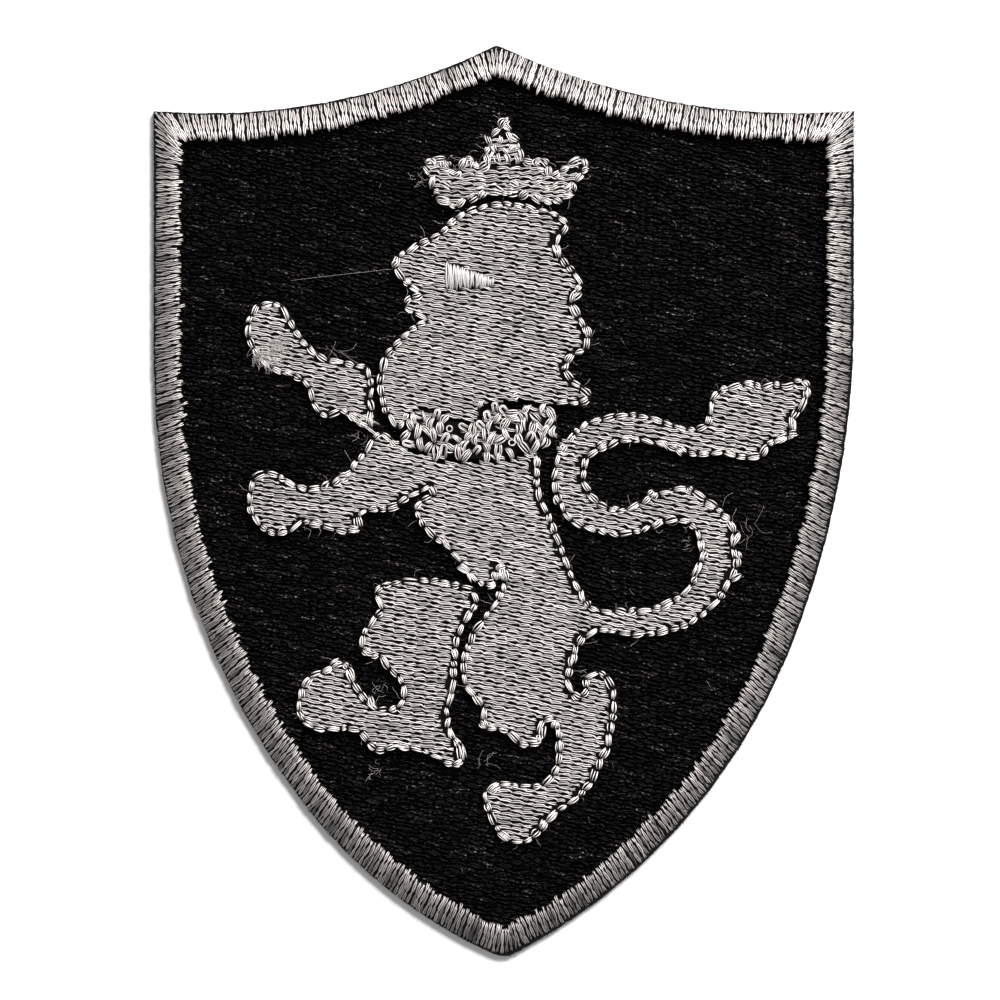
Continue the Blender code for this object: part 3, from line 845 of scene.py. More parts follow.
class FigureSettings(bpy.types.PropertyGroup):
    """The fill, outline, curl and eye stitches of the lion and its crown."""

    colour: colour_setting("Figure colour", "Colour of the figure's thread", (0.82, 0.755, 0.73))
    eye_colour: colour_setting("Eye colour", "Colour of the eye's thread", (0.64, 0.62, 0.605))
    # Painted shade: the underlay is near-black so that the gaps between the threads above it look shaded
    underlay_shade_colour: colour_setting("Underlay colour", "What shows between the threads", (0.004,) * 3)
    cell: length_setting("Cell", "Distance between two columns of needle points", 1.14 * MM)
    row_gap: length_setting("Close row pitch", "Distance between the two rows of a pair", 0.40 * MM)
    pair_gap: length_setting("Wide row pitch", "Distance from one pair of rows to the next", 0.48 * MM)
    fill_inset: length_setting("Fill inset", "Distance of the fill rows from a field's edge", 0.50 * MM)
    slope: number_setting("Row slope", "How far a row drops for its length", ROW_SLOPE)
    half_width: length_setting("Half ply width", "Half the width of one ply of a fill thread", 0.088 * MM)
    outline_stitch: length_setting("Outline stitch", "Length of an outline stitch", 1.2 * MM)
    collar_reach: length_setting("Collar reach", "How near to the collar no outline runs", 1.1 * MM)
    outline_inset: length_setting("Outline inset", "Distance of these stitches from the edge", 0.31 * MM)


class StageSettings(bpy.types.PropertyGroup):
    """Floor, light and camera."""

    floor_colour: colour_setting("Floor colour", "Colour of the pale floor", (0.92, 0.92, 0.92))
    view_width: length_setting("View width", "Width of what the camera sees at the patch", 100 * MM)
    lens: number_setting("Lens", "Focal length of the camera", 300.0, unit="CAMERA")
    key: number_setting("Key light", "Strength of the soft key light", 29.0, unit="POWER")
    ambient: number_setting("Ambient light", "Strength of the light from all round", 0.42)
    seed: IntProperty(name="Seed", description="Start of every random draw", default=7)


def draws(number):
    """Random draws for one piece, the same in each run."""
    return np.random.default_rng(bpy.context.scene.patch_stage.seed * 1000 + number)


# Operators

class LayGroundCloth(bpy.types.Operator):
    """Lay the black backed cloth under all the stitches, with its frayed cut edge"""

    bl_idname = "patch.lay_ground_cloth"
    bl_label = "Lay Ground Cloth"

    def execute(self, context):
        look = context.scene.patch_cloth
        rng = draws(1)
        edge = resample(level_loops("ground_cloth", CLOTH_TOP)[0], 0.22 * MM)
        rough = smooth_around(rng.normal(0, 1, (len(edge), 1)), 1) * 0.05 * MM
        outline = edge + inward_normals(edge, 2) * (np.abs(rough) + 0.01 * MM)
        material = cloth_material("black backed cloth", look.colour)
        mesh = slab_mesh("ground_cloth_sheet", outline, 0.0, look.top, 0.08 * MM)
        cloth = add_piece("woven_ground", mesh, material, "ground_cloth")

        count = 500
        fibres = Threads("cut_edge_fibres", sides=4)
        root = {"smoothing": 2, "spread": 0.8, "depth": 0.12 * MM}
        paths = edge_hairs(edge, (look.fray, 0.5, 1.3), (0.0, 0.2 * MM), count, 5, rng, **root)
        paths[..., 2] += rng.uniform(0.15 * MM, look.top, (count, 1))
        fibres.add(paths, 0.022 * MM, 0.022 * MM, rng.normal(0, 1, count))
        fibres.build(ground_material(look))

        return {"FINISHED"}


def ground_material(look):
    # The black ground thread gets little real shine; its glints are painted in as pale spots instead
    shine = {"specular": 0.03, "sheen": 0.0, "flecks": look.flecks}
    return thread_material("black ground thread", look.thread_colour, shade=0.6, spread=0.5, **shine)


def faces_between(count, rings, steps):
    """The four-cornered faces between neighbouring rings of this many points."""
    faces = []
    for step in range(steps):
        low, high = step * count, (step + 1) % rings * count
        for i in range(count):
            j = (i + 1) % count
            faces.append((low + i, low + j, high + j, high + i))
    return faces


def slab_mesh(name, outline, bottom, top, rounding):
    """A flat closed sheet with this outline and slightly rounded edges."""
    inward = inward_normals(outline, 1)
    levels = (
        (bottom, rounding),
        (bottom + 0.4 * rounding, 0.0),
        (0.5 * (bottom + top), -0.2 * rounding),
        (top - 0.6 * rounding, 0.0),
        (top, rounding),
    )
    count = len(outline)
    rings = [np.column_stack([outline + inward * inset, np.full(count, z)]) for z, inset in levels]
    faces = faces_between(count, len(levels), len(levels) - 1)
    flat = [Vector((x, y, 0.0)) for x, y in rings[-1][:, :2]]
    for a, b, c in tessellate_polygon([flat]):
        turn = (flat[b] - flat[a]).cross(flat[c] - flat[a]).z
        if abs(turn) < 1e-16:
            continue
        if turn < 0:
            b, c = c, b
        upper = (len(levels) - 1) * count
        faces.append((upper + a, upper + b, upper + c))
        faces.append((c, b, a))
    mesh = bpy.data.meshes.new(name)
    mesh.from_pydata(np.concatenate(rings).tolist(), [], faces)
    mesh.update()
    return mesh


class StitchGround(bpy.types.Operator):
    """Cover the cloth inside the border with rows of short black stitches"""

    bl_idname = "patch.stitch_ground"
    bl_label = "Stitch Black Ground"

    def execute(self, context):
        look = context.scene.patch_cloth
        slope = context.scene.patch_figure.slope
        rng = draws(2)
        inner = level_loops("satin_border", RING_WALL)[1]
        covered = [field_loops(node)[0] for node in FIGURE_NODES]
        rows = {
            "cell": look.stitch,
            "slope": slope,
            "pitches": (look.row_pitch, look.row_pitch),
            "settle": 0.05 * MM,
            "pull": 0.0,
            "wobble": 0.09 * MM,
            "plies": 1,
            "points": 7,
            "ply": 0.46 * look.row_pitch,
            "thick": 0.06 * MM,
        }
        under_border, well_inside = -0.25 * MM, 0.35 * MM
        stitches = row_stitches([inner], rows, (under_border, under_border), rng)
        hidden = np.ones(len(stitches), bool)
        for share in (0.0, 0.25, 0.5, 0.75, 1.0):
            x = stitches[:, 1] + share * (stitches[:, 2] - stitches[:, 1])
            spot = np.column_stack([x, row_y(x, stitches[:, 0], slope)])
            under = np.zeros(len(spot), bool)
            for loop in covered:
                under |= inside(spot, [loop]) & (distance_to(spot, [loop]) > well_inside)
            hidden &= under
        heights = (look.top - 0.05 * MM, CLOTH_TOP - 0.13 * MM)
        black = ground_material(look)
        shown = stitches[~hidden]
        halves = shown[:, 0] > np.median(shown[:, 0])
        for name, half in (("upper_ground_stitches", halves), ("lower_ground_stitches", ~halves)):
            threads = Threads(name, sides=4)
            lay_rows(threads, shown[half], rows, heights, rng)
            threads.build(black)
        return {"FINISHED"}


class StitchBorder(bpy.types.Operator):
    """Wind the satin threads of the border over the cloth's edge"""

    bl_idname = "patch.stitch_border"
    bl_label = "Stitch Satin Border"

    def execute(self, context):
        look = context.scene.patch_border
        rng = draws(3)
        outer, inner = level_loops("satin_border", RING_WALL)[:2]
        root, tip = satin_rails(resample(outer, 0.1 * MM), resample(inner, 0.1 * MM))
        middle = 0.5 * (root + tip)
        run = closed_run(middle)[1]
        count = round(run[-1] / look.pitch)
        places = (np.arange(count) + 0.5 + rng.normal(0, 0.09, count)) * run[-1] / count
        index = np.interp(places % run[-1], run, np.arange(len(run)))
        start, stop = around_loop(root, index), around_loop(tip, index)
        span = np.linalg.norm(stop - start, axis=1, keepdims=True)
        unit = (stop - start) / span
        across = leftward(unit)[:, None]
        points, turn_down = 13, 0.985
        along = np.linspace(0, 1, points)
        reach = np.append(np.linspace(0, turn_down, points - 1), 1.0)
        # Cloth shows outside the threads, but less along the top, and not where the edge slants down
        # to the right
        bare = np.clip(1 + 1.3 * unit[:, 1:], 0.35, 1) - 1.6 * np.clip(2 * unit[:, :1] * unit[:, 1:], 0, 1)
        first = rng.uniform(-0.02, 0.14, (count, 1)) * MM + look.bare_edge * bare
        last = span + rng.normal(0.03 * MM, 0.15 * MM, (count, 1))
        far = first + (last - first) * reach
        wave = np.sin(2 * math.pi * (along * rng.uniform(0.6, 1.2, (count, 1)) + rng.random((count, 1))))
        drift = smooth_around(rng.normal(0, 1, (count, 1)), 4) * (along - 0.5)
        sway = (0.035 * wave + 0.14 * drift) * MM
        flat = start[:, None] + unit[:, None] * far[..., None]
        height = satin_arch(reach, look) + rng.normal(0, 0.02 * MM, (count, 1))
        height[:, -1] = CLOTH_TOP + 0.05 * MM
        turn = 2 * math.pi * (far / look.ply_turn + smooth_around(rng.normal(0, 1.5, (count, 1)), 3))
        # The threads are painted by side: painted shade round the shield's foot, painted light along the top,
        # and darker along the right
        shared = rng.normal(0, 0.8, count) - look.painted_foot_shade * np.clip(unit[:, 1], 0, 1)
        from_top, from_right = np.clip(-unit[:, 1], 0, 1), np.clip(-unit[:, 0], 0, 1)
        shared += look.painted_head_light * from_top - look.dull_right * from_right
        threads = Threads("border_satin_threads", sides=5)
        for side in (0.0, math.pi):
            over = np.cos(turn + side)
            offset = sway + 0.98 * look.half_width * np.sign(over) * np.abs(over) ** 0.7
            path = flat + across * offset[..., None]
            z = height + 0.045 * MM * np.sin(turn + side)
            wide = look.half_width * (1.0 - 0.55 * along**7 - 0.15 * (1 - along) ** 7)
            wide = wide * rng.uniform(0.92, 1.1, (count, 1))
            # Painted light: darker towards the outer edge, brighter towards the inner ends
            tint = shared[:, None] + rng.normal(0, 0.6, (count, 1)) + look.painted_tip_light * (along**2 - 0.45)
            threads.add(with_height(path, z), wide, 0.1 * MM, tint)
        grey = thread_material("grey border thread", look.colour, shade=0.88, spread=0.2)
        threads.build(grey, "satin_border")

        dark = underlay_material(context.scene.patch_figure)
        add_piece("border_underlay", satin_core(root, tip, look), dark)
        return {"FINISHED"}


def loop_corners(loop, step):
    """Places of the sharp corners of a finely sampled anticlockwise loop."""
    reach = round(CORNER_REACH / step)
    before = loop - np.roll(loop, reach, axis=0)
    after = np.roll(loop, -reach, axis=0) - loop
    cross = before[:, 0] * after[:, 1] - before[:, 1] * after[:, 0]
    turn = np.abs(np.arctan2(cross, np.sum(before * after, axis=1)))
    around = np.array([np.roll(turn, shift) for shift in range(-reach, reach + 1)])
    return np.flatnonzero((turn > CORNER_TURN) & (turn >= around.max(axis=0)))


def satin_rails(outer, inner):
    """Where the satin threads start and end: matched places on the two edges of the border.

    Along a side the threads lie straight across. Near a corner they turn little by little, and at the
    corner itself one runs from the outer corner to the inner one."""
    sight, fan_reach = 20, 3.3
    step = loop_length(outer) / len(outer)
    outer_corners = loop_corners(outer, step)
    inner_corners = loop_corners(inner, step)
    if len(outer_corners) != len(inner_corners):
        raise RuntimeError("the border's two edges have different corners")
    order = [
        inner_corners[np.argmin(np.linalg.norm(inner[inner_corners] - outer[corner], axis=1))]
        for corner in outer_corners
    ]
    roots, tips = [], []
    for k, corner in enumerate(outer_corners):
        onward = (k + 1) % len(outer_corners)
        length = (outer_corners[onward] - corner) % len(outer)
        inner_length = (order[onward] - order[k]) % len(inner)
        along = np.arange(length)
        side = outer[(corner + along) % len(outer)]
        ahead = side[min(sight, length - 1)] - side[0]
        behind = side[-1] - side[max(0, length - 1 - sight)]
        ahead, behind = ahead / np.linalg.norm(ahead), behind / np.linalg.norm(behind)
        set_in = [
            max(0.0, (inner[order[k]] - side[0]) @ ahead) / step,
            max(0.0, (side[-1] - inner[order[onward]]) @ behind) / step,
        ]
        straight = (along - set_in[0]) * inner_length / (length - set_in[0] - set_in[1])
        spread = [fan_reach * offset + 1.0 for offset in set_in]
        fan = set_in[0] * np.clip(1 - along / spread[0], 0, 1) ** 2
        fan -= set_in[1] * np.clip(1 - (length - along) / spread[1], 0, 1) ** 2
        place = order[k] + np.clip(straight + fan, 0, inner_length)
        roots.append(side)
        tips.append(around_loop(inner, place))
    return np.concatenate(roots), np.concatenate(tips)


def around_loop(values, index):
    """Values along a closed line, read at places between its points."""
    first = np.floor(index).astype(int)
    share = (index - first)[:, None]
    return values[first % len(values)] * (1 - share) + values[(first + 1) % len(values)] * share


def satin_arch(along, look):
    """Height of a satin thread's middle, which drops steeply at its inner end."""
    crown = RING_TOP - 0.11 * MM
    peak = look.crown_place
    climb = np.clip(along / peak, 0, 1)
    rise = 0.45 * climb + 0.55 * np.sin(0.5 * math.pi * climb)
    fall = np.clip((along - peak) / (1 - peak), 0, 1) ** 2.0
    return look.outer_height + (crown - look.outer_height) * rise - (crown - look.inner_height) * fall


def satin_core(root, tip, look):
    """The padding under the satin threads, a closed band round the shield, near-black as painted shade in the
    gaps between them.
    """
    outside, inside_share, under_threads = 0.07, 0.95, 0.14 * MM
    shares = np.linspace(outside, inside_share, 9)
    root, across = root[::4], (tip - root)[::4]
    levels = list(zip(shares, satin_arch(shares, look) - under_threads))
    levels += [(inside_share, PADDING_FOOT), (outside, PADDING_FOOT)]
    rings = [np.column_stack([root + across * share, np.full(len(root), z)]) for share, z in levels]
    faces = faces_between(len(root), len(rings), len(rings))
    mesh = bpy.data.meshes.new("border_underlay")
    mesh.from_pydata(np.concatenate(rings).tolist(), [], faces)
    mesh.shade_smooth()
    return mesh


class FillFigure(bpy.types.Operator):
    """Fill the head, the legs and the body with rows of stitches"""

    bl_idname = "patch.fill_figure"
    bl_label = "Fill Figure"

    def execute(self, context):
        look = context.scene.patch_figure
        heights = over_fields(-0.55, -0.33)
        for number, node in enumerate(FIGURE_FIELDS):
            rng = draws(10 + number)
            threads = Threads(f"{node}_fill_rows", sides=5)
            loops = fill_loops(node, look)
            rows = fill_look(look)
            stitches = row_stitches(loops, rows, (0.08 * MM, 0.55 * MM), rng)
            lay_rows(threads, stitches, rows, heights, rng)
            threads.build(figure_material(look), node)
            add_underlay(node, look)
        return {"FINISHED"}


def fill_look(look, slope=None, settle=0.045 * MM, wobble=0.025 * MM):
    """How the fill rows of the figure lie."""
    return {
        "cell": look.cell,
        "slope": look.slope if slope is None else slope,
        "pitches": (look.row_gap, look.pair_gap),
        "settle": settle,
        "pull": 0.065 * MM,
        "wobble": wobble,
        "plies": 2,
        "points": 12,
        "ply": look.half_width,
        "part": 1.12 * look.half_width,
        "stack": 0.045 * MM,
        "thick": 0.11 * MM,
        "turn": 4.4 * MM,
    }


def fill_loops(node, look):
    """The outline that a field's rows fill: inside its outline stitches, but right up to the collar."""
    loops = field_loops(node)
    fine = resample(loops[0], 0.1 * MM)
    bare = distance_to(fine, field_loops("mane_collar")) < look.collar_reach
    inset = smooth_around(np.where(bare, -0.25 * MM, look.fill_inset)[:, None], 3)
    path = fine + inset * inward_normals(fine, 3)
    clear = (distance_to(path, loops) > 0.9 * look.fill_inset) & inside(path, loops)
    return [path[clear | bare]] + [widened(loop, -0.22 * MM) for loop in loops[1:]]


def widened(loop, distance):
    """A small loop made wider, or narrower with a negative distance."""
    fine = resample(loop, 0.1 * MM)
    return fine - distance * inward_normals(fine, 2)


def figure_material(look):
    return thread_material("grey figure thread", look.colour, shade=0.97, spread=0.2)


def underlay_material(look):
    # Painted shade: the underlay's near-black colour is the shade in the gaps between the threads above it
    dull = {"shade": 0.2, "spread": 0.2, "specular": 0.1, "sheen": 0.0}
    return thread_material("dark underlay thread", look.underlay_shade_colour, **dull)


def add_underlay(node, look):
    """The layer of stitches under a field, which lifts it off the ground; its near-black colour is painted
    shade for the gaps between the threads.
    """
    mesh = frame["nodes"][node].data.copy()
    mesh.name = f"{node}_underlay"
    mesh.materials.clear()
    low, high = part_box(node)[0][2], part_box(node)[1][2]
    points = np.empty(len(mesh.vertices) * 3, np.float32)
    mesh.vertices.foreach_get("co", points)
    heights = points[2::3]
    heights[:] = UNDERLAY_FOOT + (heights - low) / (high - low) * UNDERLAY_HEIGHT
    mesh.vertices.foreach_set("co", points)
    mesh.update()
    add_piece(f"{node}_underlay", mesh, underlay_material(look))


class OutlineFigure(bpy.types.Operator):
    """Run a line of leaf-shaped stitches round each field of the figure"""

    bl_idname = "patch.outline_figure"
    bl_label = "Outline Figure"

    def execute(self, context):
        look = context.scene.patch_figure
        collar = field_loops("mane_collar")
        left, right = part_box("mane_collar")[0][0] + 0.6 * MM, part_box("mane_collar")[1][0] - 0.6 * MM
        heights = over_fields(-0.9, -0.12)
        usually_doubled, doubled_in_tangle, four_stranded = 0.12, 0.9, 0.45
        # Painted highlight: the outline stitches are painted brighter than the fill, for the light they catch
        # standing higher
        painted_highlight, blunt = 3.2, (0.3, 0.9)
        for number, node in enumerate(FIGURE_FIELDS):
            rng = draws(30 + number)
            loops = field_loops(node)
            path = inset_path(loops[0], loops, look.outline_inset)
            spines = path_spines(path, look.outline_stitch, 0.10 * MM, 8, rng)
            middle = spines[:, spines.shape[1] // 2]
            beside = (middle[:, 0] < left) | (middle[:, 0] > right)
            spines = spines[beside | (distance_to(middle, collar) > look.collar_reach)]
            threads = Threads(f"{node}_outline_stitches", sides=5)
            spines = turned(spines, 0.16, rng)
            crowded = np.full(len(spines), usually_doubled)
            for across, up, reach in TANGLES:
                gap = np.linalg.norm(spines.mean(axis=1) - shield_place(across, up), axis=1)
                crowded[gap < reach * MM] = doubled_in_tangle
            doubled = turned(spines[rng.random(len(spines)) < crowded], 0.3, rng)
            spines = np.concatenate([spines, doubled + rng.normal(0, 0.2 * MM, (len(doubled), 1, 2))])
            four = rng.random(len(spines)) < four_stranded
            lay_leaves(threads, spines[four], 4, 0.27 * MM, 0.09 * MM, heights, rng, painted_highlight, blunt)
            lay_leaves(threads, spines[~four], 3, 0.22 * MM, 0.10 * MM, heights, rng, painted_highlight, blunt)
            if node == "raised_foreleg":
                ends = np.array(LOOSE_STRANDS).reshape(-1, 2, 2)
                ends = np.array([[shield_place(*end) for end in pair] for pair in ends])
                share = np.linspace(0, 1, 8)[:, None]
                strands = ends[:, :1] + (ends[:, 1:] - ends[:, :1]) * share
                lay_leaves(threads, strands, 2, 0.07 * MM, 0.07 * MM, heights, rng, tint=2.5)
            threads.build(figure_material(look))
        return {"FINISHED"}


class StitchCrown(bpy.types.Operator):
    """Stitch the crown: wavy rows across it and short thick stitches round its points"""

    bl_idname = "patch.stitch_crown"
    bl_label = "Stitch Crown"

    def execute(self, context):
        look = context.scene.patch_figure
        rng = draws(50)
        loops = field_loops("crown")
        threads = Threads("crown_stitches", sides=5)
        rows = fill_look(look, slope=0.10, settle=0.07 * MM, wobble=0.05 * MM)
        stitches = row_stitches([widened(loops[0], -0.25 * MM)], rows, (0.1 * MM, 0.1 * MM), rng)
        low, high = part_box("crown")[0][1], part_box("crown")[1][1]
        band_top = low + 0.45 * (high - low)
        stitches = stitches[(stitches[:, 0] < band_top) | (rng.random(len(stitches)) < 0.65)]
        lay_rows(threads, stitches, rows, over_fields(-0.6, -0.32), rng)
        heights = over_fields(-0.85, -0.06)
        path = inset_path(loops[0], loops, 0.27 * MM)
        spines = turned(path_spines(path, 1.1 * MM, 0.05 * MM, 7, rng), 0.5, rng)
        lay_leaves(threads, spines, 4, 0.3 * MM, 0.09 * MM, heights, rng, tint=2.6, blunt=(0.2, 0.8))
        spots = scattered(loops, 0.72 * MM, rng)
        spots = spots[distance_to(spots, loops) > 0.3 * MM]
        spots = spots[(spots[:, 1] >= band_top) | (rng.random(len(spots)) < 0.3)]
        upright = math.pi / 2 + rng.normal(0, 0.5, len(spots))
        lying = rng.uniform(-0.6, 0.6, len(spots))
        angles = np.where(spots[:, 1] < band_top, lying, upright)
        spines = straight_spines(spots, angles, rng.uniform(0.8, 1.2, len(spots)) * MM, 7, rng, curl=0.15)
        lay_leaves(threads, spines, 3, 0.22 * MM, 0.1 * MM, heights, rng, tint=2.8, blunt=(0.3, 0.9))
        threads.build(figure_material(look), "crown")
        add_underlay("crown", look)
        return {"FINISHED"}


def turned(spines, spread, rng, lean=0.0):
    """Spines turned about their middles, each by its own angle."""
    angles = rng.normal(lean, spread, len(spines))[:, None]
    middle = spines.mean(axis=1, keepdims=True)
    x, y = np.moveaxis(spines - middle, 2, 0)
    cosine, sine = np.cos(angles), np.sin(angles)
    return middle + np.stack([x * cosine - y * sine, x * sine + y * cosine], axis=2)


class CurlCollar(bpy.types.Operator):
    """Work the mane's collar in curled stitches and small rings"""

    bl_idname = "patch.curl_collar"
    bl_label = "Curl Mane Collar"

    def execute(self, context):
        look = context.scene.patch_figure
        rng = draws(60)
        loops = field_loops("mane_collar")
        threads = Threads("collar_curled_stitches", sides=5)
        rows = fill_look(look, wobble=0.05 * MM)
        stitches = row_stitches([widened(loops[0], 0.1 * MM)], rows, (0.0, 0.2 * MM), rng)
        stitches = stitches[rng.random(len(stitches)) < 0.35]
        lay_rows(threads, stitches, rows, over_fields(-0.6, -0.45), rng)
        heights = over_fields(-0.65, 0.02)
        spots = scattered([widened(loops[0], -0.1 * MM)], 0.82 * MM, rng)
        ringed = (rng.random(len(spots)) < 0.10) & (distance_to(spots, loops) > 0.5 * MM)
        angles = rng.normal(math.pi / 2, 0.5, len(spots))
        lengths = rng.uniform(1.1, 1.7, len(spots)) * MM
        spines = straight_spines(spots, angles, lengths, 9, rng, curl=0.12)
        hooked = ~ringed & (rng.random(len(spots)) < 0.18)
        plain = spines[~ringed & ~hooked]
        lay_leaves(threads, plain, 4, 0.3 * MM, 0.095 * MM, heights, rng, tint=1.6, blunt=(0.1, 0.7))
        lay_hooks(threads, spots[hooked], angles[hooked], lengths[hooked], heights, rng)
        lay_rings(threads, spots[ringed], 0.28 * MM, 0.12 * MM, PLATE_TOP - 0.12 * MM, rng)
        threads.build(figure_material(look), "mane_collar")
        add_underlay("mane_collar", look)
        return {"FINISHED"}


def lay_hooks(threads, centres, angles, lengths, heights, rng):
    """Curled stitches: each goes up, turns round and comes back beside itself, in two strands."""
    share = np.linspace(-1, 1, 13)
    round_part, leg_part, strand_gap = 0.55, 0.45, 0.13 * MM
    bend = 0.5 * math.pi * np.clip(share / round_part, -1, 1)
    leg = np.clip((np.abs(share) - round_part) / leg_part, 0, 1)
    low, high = heights
    size = lengths[:, None]
    width = rng.uniform(0.26, 0.34, (len(centres), 1)) * MM
    heading = headings(angles)
    across, heading = leftward(heading)[:, None], heading[:, None]
    for inset in (0.0, strand_gap):
        reach = width - inset
        aside = reach * np.sin(bend)
        up = (0.5 * size - width) + reach * np.cos(bend) - leg * (0.8 * size - width)
        flat = centres[:, None] + across * aside[..., None] + heading * up[..., None]
        z = high + (low - high) * leg**2 + rng.normal(0, 0.04 * MM, (len(centres), 1))
        wide = 0.085 * MM * rng.uniform(0.85, 1.15, (len(centres), 1))
        threads.add(with_height(flat, z), wide, wide, rng.normal(2.4, 1.0, len(centres)))


def lay_rings(threads, centres, radius, half_width, height, rng):
    """Small closed loops of thread."""
    if not len(centres):
        return
    turn = np.linspace(0, 2 * math.pi, 15) + rng.uniform(0, 2 * math.pi, (len(centres), 1))
    size = radius * rng.uniform(0.8, 1.2, (len(centres), 1))
    x = centres[:, :1] + size * np.cos(turn)
    y = centres[:, 1:2] + size * rng.uniform(0.85, 1.15, (len(centres), 1)) * np.sin(turn)
    paths = with_height(np.stack([x, y], axis=2), height + 0.05 * MM * np.sin(turn * 2))
    threads.add(paths, half_width, half_width, rng.normal(0.5, 0.6, len(centres)))


class StitchEye(bpy.types.Operator):
    """Stitch the eye in white upright satin threads"""

    bl_idname = "patch.stitch_eye"
    bl_label = "Stitch Eye"

    def execute(self, context):
        look = context.scene.patch_figure
        rng = draws(70)
        a = field_loops("eye")[0]
        b = np.roll(a, -1, axis=0)
        pitch, points = 0.34 * MM, 8
        spines = []
        for x in np.arange(a[:, 0].min() + 0.3 * pitch, a[:, 0].max(), pitch):
            crossing = (a[:, 0] > x) != (b[:, 0] > x)
            rise = (b[crossing, 1] - a[crossing, 1]) / (b[crossing, 0] - a[crossing, 0])
            meets = a[crossing, 1] + (x - a[crossing, 0]) * rise
            low, high = meets.min() - 0.15 * MM, meets.max() + 0.15 * MM
            low, high = low + rng.normal(-0.05, 0.06) * MM, high + rng.normal(0, 0.06) * MM
            aside = np.full(points, x) + rng.normal(0, 0.015 * MM, points)
            spines.append(np.column_stack([aside, np.linspace(low, high, points)]))
        threads = Threads("eye_satin_threads", sides=6)
        spines = turned(np.array(spines), 0.08, rng, lean=-0.06)
        heights = over_fields(-0.7, -0.12)
        lay_leaves(threads, spines, 2, 0.10 * MM, 0.12 * MM, heights, rng)
        white = thread_material("white eye thread", look.eye_colour, shade=0.45, spread=0.06)
        threads.build(white, "eye")
        return {"FINISHED"}


class ScatterLint(bpy.types.Operator):
    """Scatter loose fibres round the figure, and a few specks of lint on the ground"""

    bl_idname = "patch.scatter_lint"
    bl_label = "Scatter Lint"

    def execute(self, context):
        look = context.scene.patch_figure
        rng = draws(80)
        threads = Threads("loose_fibres", sides=4)
        thick, fine, finest = 0.010 * MM, 0.009 * MM, 0.008 * MM
        for node, count in (("body", 50), ("head", 20), ("crown", 25), ("near_hind_leg", 12)):
            edge = resample(field_loops(node)[0], 0.1 * MM)
            root = {"smoothing": 3, "spread": 0.7, "depth": 0.1 * MM}
            paths = edge_hairs(edge, (MM, 0.4, 1.6), (1.05 * MM, 1.5 * MM), count, 7, rng, **root)
            threads.add(paths, thick, thick, rng.normal(0, 1, count))
        for across, up, reach, top, angle, spread, count, length in FRAYS:
            starts = shield_place(across, up) + rng.normal(0, 0.5 * reach, (count, 2)) * MM
            angles = np.radians(rng.normal(angle, spread, count))
            lengths = rng.uniform(0.6, 1.3, count) * length * MM
            heights = (top * MM - 0.1 * MM, top * MM)
            paths = hair_paths(starts, angles, lengths, heights, 9, rng, curl=spread / 50)
            threads.add(paths, finest, finest, rng.normal(0, 1, count))
        inner = level_loops("satin_border", RING_WALL)[1:2]
        spots = scattered(inner, 6.0 * MM, rng, tries=800)
        lengths = rng.uniform(0.2, 0.9, len(spots)) * MM
        angles = rng.uniform(0, 2 * math.pi, len(spots))
        paths = hair_paths(spots, angles, lengths, (1.02 * MM, 1.08 * MM), 6, rng, curl=0.7)
        threads.add(paths, fine, fine, rng.normal(-3, 1, len(spots)))
        lint = thread_material("lint", look.colour, shade=0.3, spread=0.15, specular=0.3)
        threads.build(lint)
        return {"FINISHED"}


class SetStage(bpy.types.Operator):
    """Set the pale floor, the soft light and the camera straight above the patch"""

    bl_idname = "patch.set_stage"
    bl_label = "Set Stage"

    def execute(self, context):
        look = context.scene.patch_stage
        scene = context.scene
        scene.view_settings.view_transform = "Standard"
        add_floor(look)
        camera = bpy.data.cameras.new("camera above")
        camera.lens = look.lens
        camera.sensor_width = SENSOR_WIDTH
        camera.clip_start = 0.01
        camera.clip_end = 20.0
        distance = look.view_width * look.lens / SENSOR_WIDTH
        scene.camera = add_to_stage(camera, CAMERA_AIM + Vector((0.0, 0.0, distance + PLATE_TOP)))
        add_light("key light", look.key)
        world = bpy.data.worlds.new("soft studio")
        world.use_nodes = True
        background = world.node_tree.nodes["Background"]
        background.inputs["Color"].default_value = (1.0, 0.99, 0.98, 1.0)
        background.inputs["Strength"].default_value = look.ambient
        scene.world = world
        return {"FINISHED"}


def add_to_stage(data, place=(0.0, 0.0, 0.0)):
    """The object of a camera, light or floor, named like its data."""
    thing = bpy.data.objects.new(data.name, data)
    thing.location = place
    bpy.context.scene.collection.objects.link(thing)
    return thing


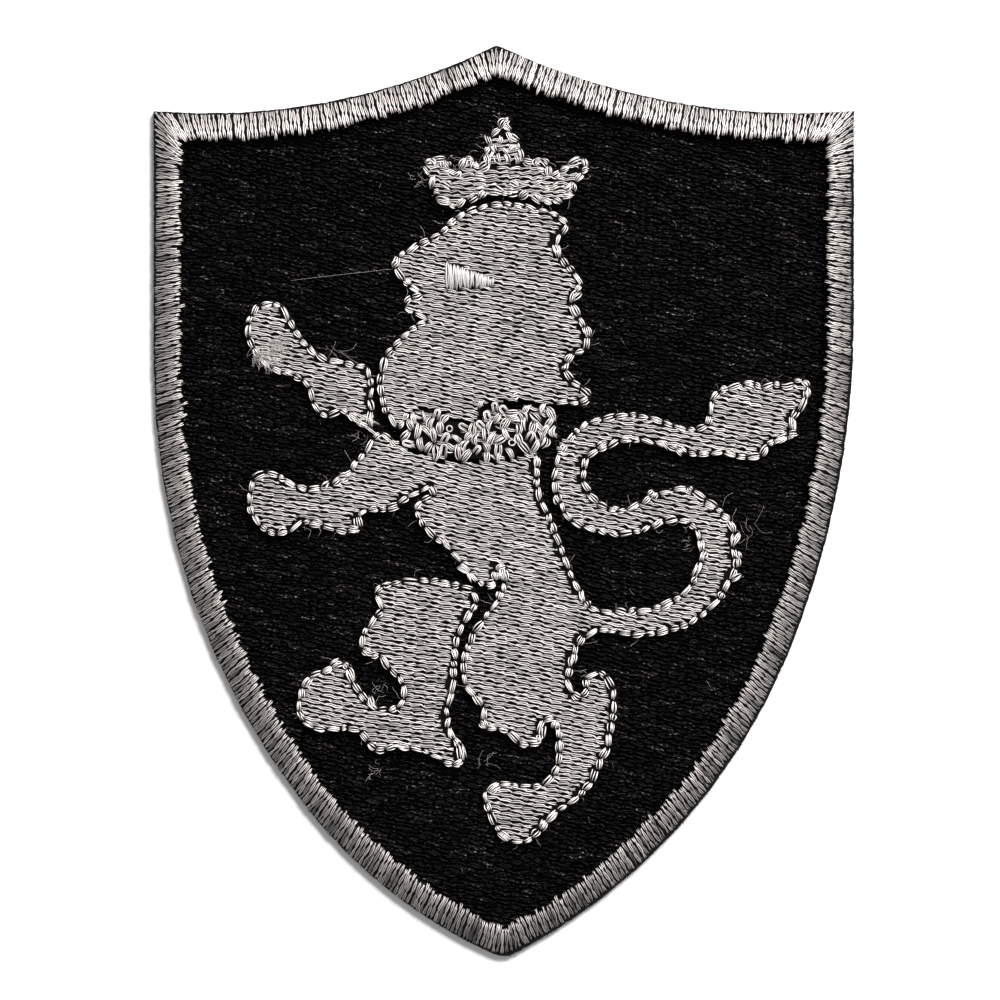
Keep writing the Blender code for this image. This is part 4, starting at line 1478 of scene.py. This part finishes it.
def add_floor(look):
    """A wide pale floor with a faint tooth."""
    mesh = bpy.data.meshes.new("floor")
    signs = ((-1, -1), (1, -1), (1, 1), (-1, 1))
    mesh.from_pydata([(x * FLOOR_REACH, y * FLOOR_REACH, 0.0) for x, y in signs], [], [(0, 1, 2, 3)])
    add_to_stage(mesh)
    material, graph, shader = principled("pale floor", specular=0.1)
    tooth = graph.noise(graph.add("ShaderNodeTexCoord", output="Object"), 240.0)
    roughness = graph.ranged(tooth, 0.2, 0.8, 0.8, 0.95)
    graph.give(shader, {"Base Color": (*look.floor_colour, 1.0), "Roughness": roughness})
    mesh.materials.append(material)


def add_light(name, power):
    """A soft square light that shines on the patch."""
    light = bpy.data.lights.new(name, "AREA")
    light.energy = power
    light.size = LIGHT_SIZE
    lamp = add_to_stage(light, LIGHT_PLACE)
    lamp.rotation_euler = (CAMERA_AIM - LIGHT_PLACE).to_track_quat("-Z", "Y").to_euler()


class PatchPanel(bpy.types.Panel):
    """All the steps of the patch and what can be set for them"""

    bl_idname = "VIEW3D_PT_embroidered_patch"
    bl_label = "Embroidered Patch"
    bl_space_type = "VIEW_3D"
    bl_region_type = "UI"
    bl_category = "Patch"

    def draw(self, context):
        layout = self.layout
        for label, settings in SETTINGS.items():
            box = layout.box()
            group = getattr(context.scene, label)
            for key in settings.__annotations__:
                box.prop(group, key)
        for operator in STEPS:
            layout.operator(operator.bl_idname)


SETTINGS = {
    "patch_cloth": ClothSettings,
    "patch_border": BorderSettings,
    "patch_figure": FigureSettings,
    "patch_stage": StageSettings,
}

STEPS = (
    StitchGround,
    StitchBorder,
    FillFigure,
    OutlineFigure,
    StitchCrown,
    CurlCollar,
    StitchEye,
    ScatterLint,
    LayGroundCloth,
    SetStage,
)


def register():
    for settings in SETTINGS.values():
        bpy.utils.register_class(settings)
    for label, settings in SETTINGS.items():
        setattr(bpy.types.Scene, label, PointerProperty(type=settings))
    for step in STEPS:
        bpy.utils.register_class(step)
    bpy.utils.register_class(PatchPanel)


def unregister():
    bpy.utils.unregister_class(PatchPanel)
    for step in reversed(STEPS):
        bpy.utils.unregister_class(step)
    for label in SETTINGS:
        delattr(bpy.types.Scene, label)
    for settings in reversed(list(SETTINGS.values())):
        bpy.utils.unregister_class(settings)


def main():
    register()
    for step in STEPS:
        group, name = step.bl_idname.split(".")
        getattr(getattr(bpy.ops, group), name)()


if __name__ == "__main__":
    main()
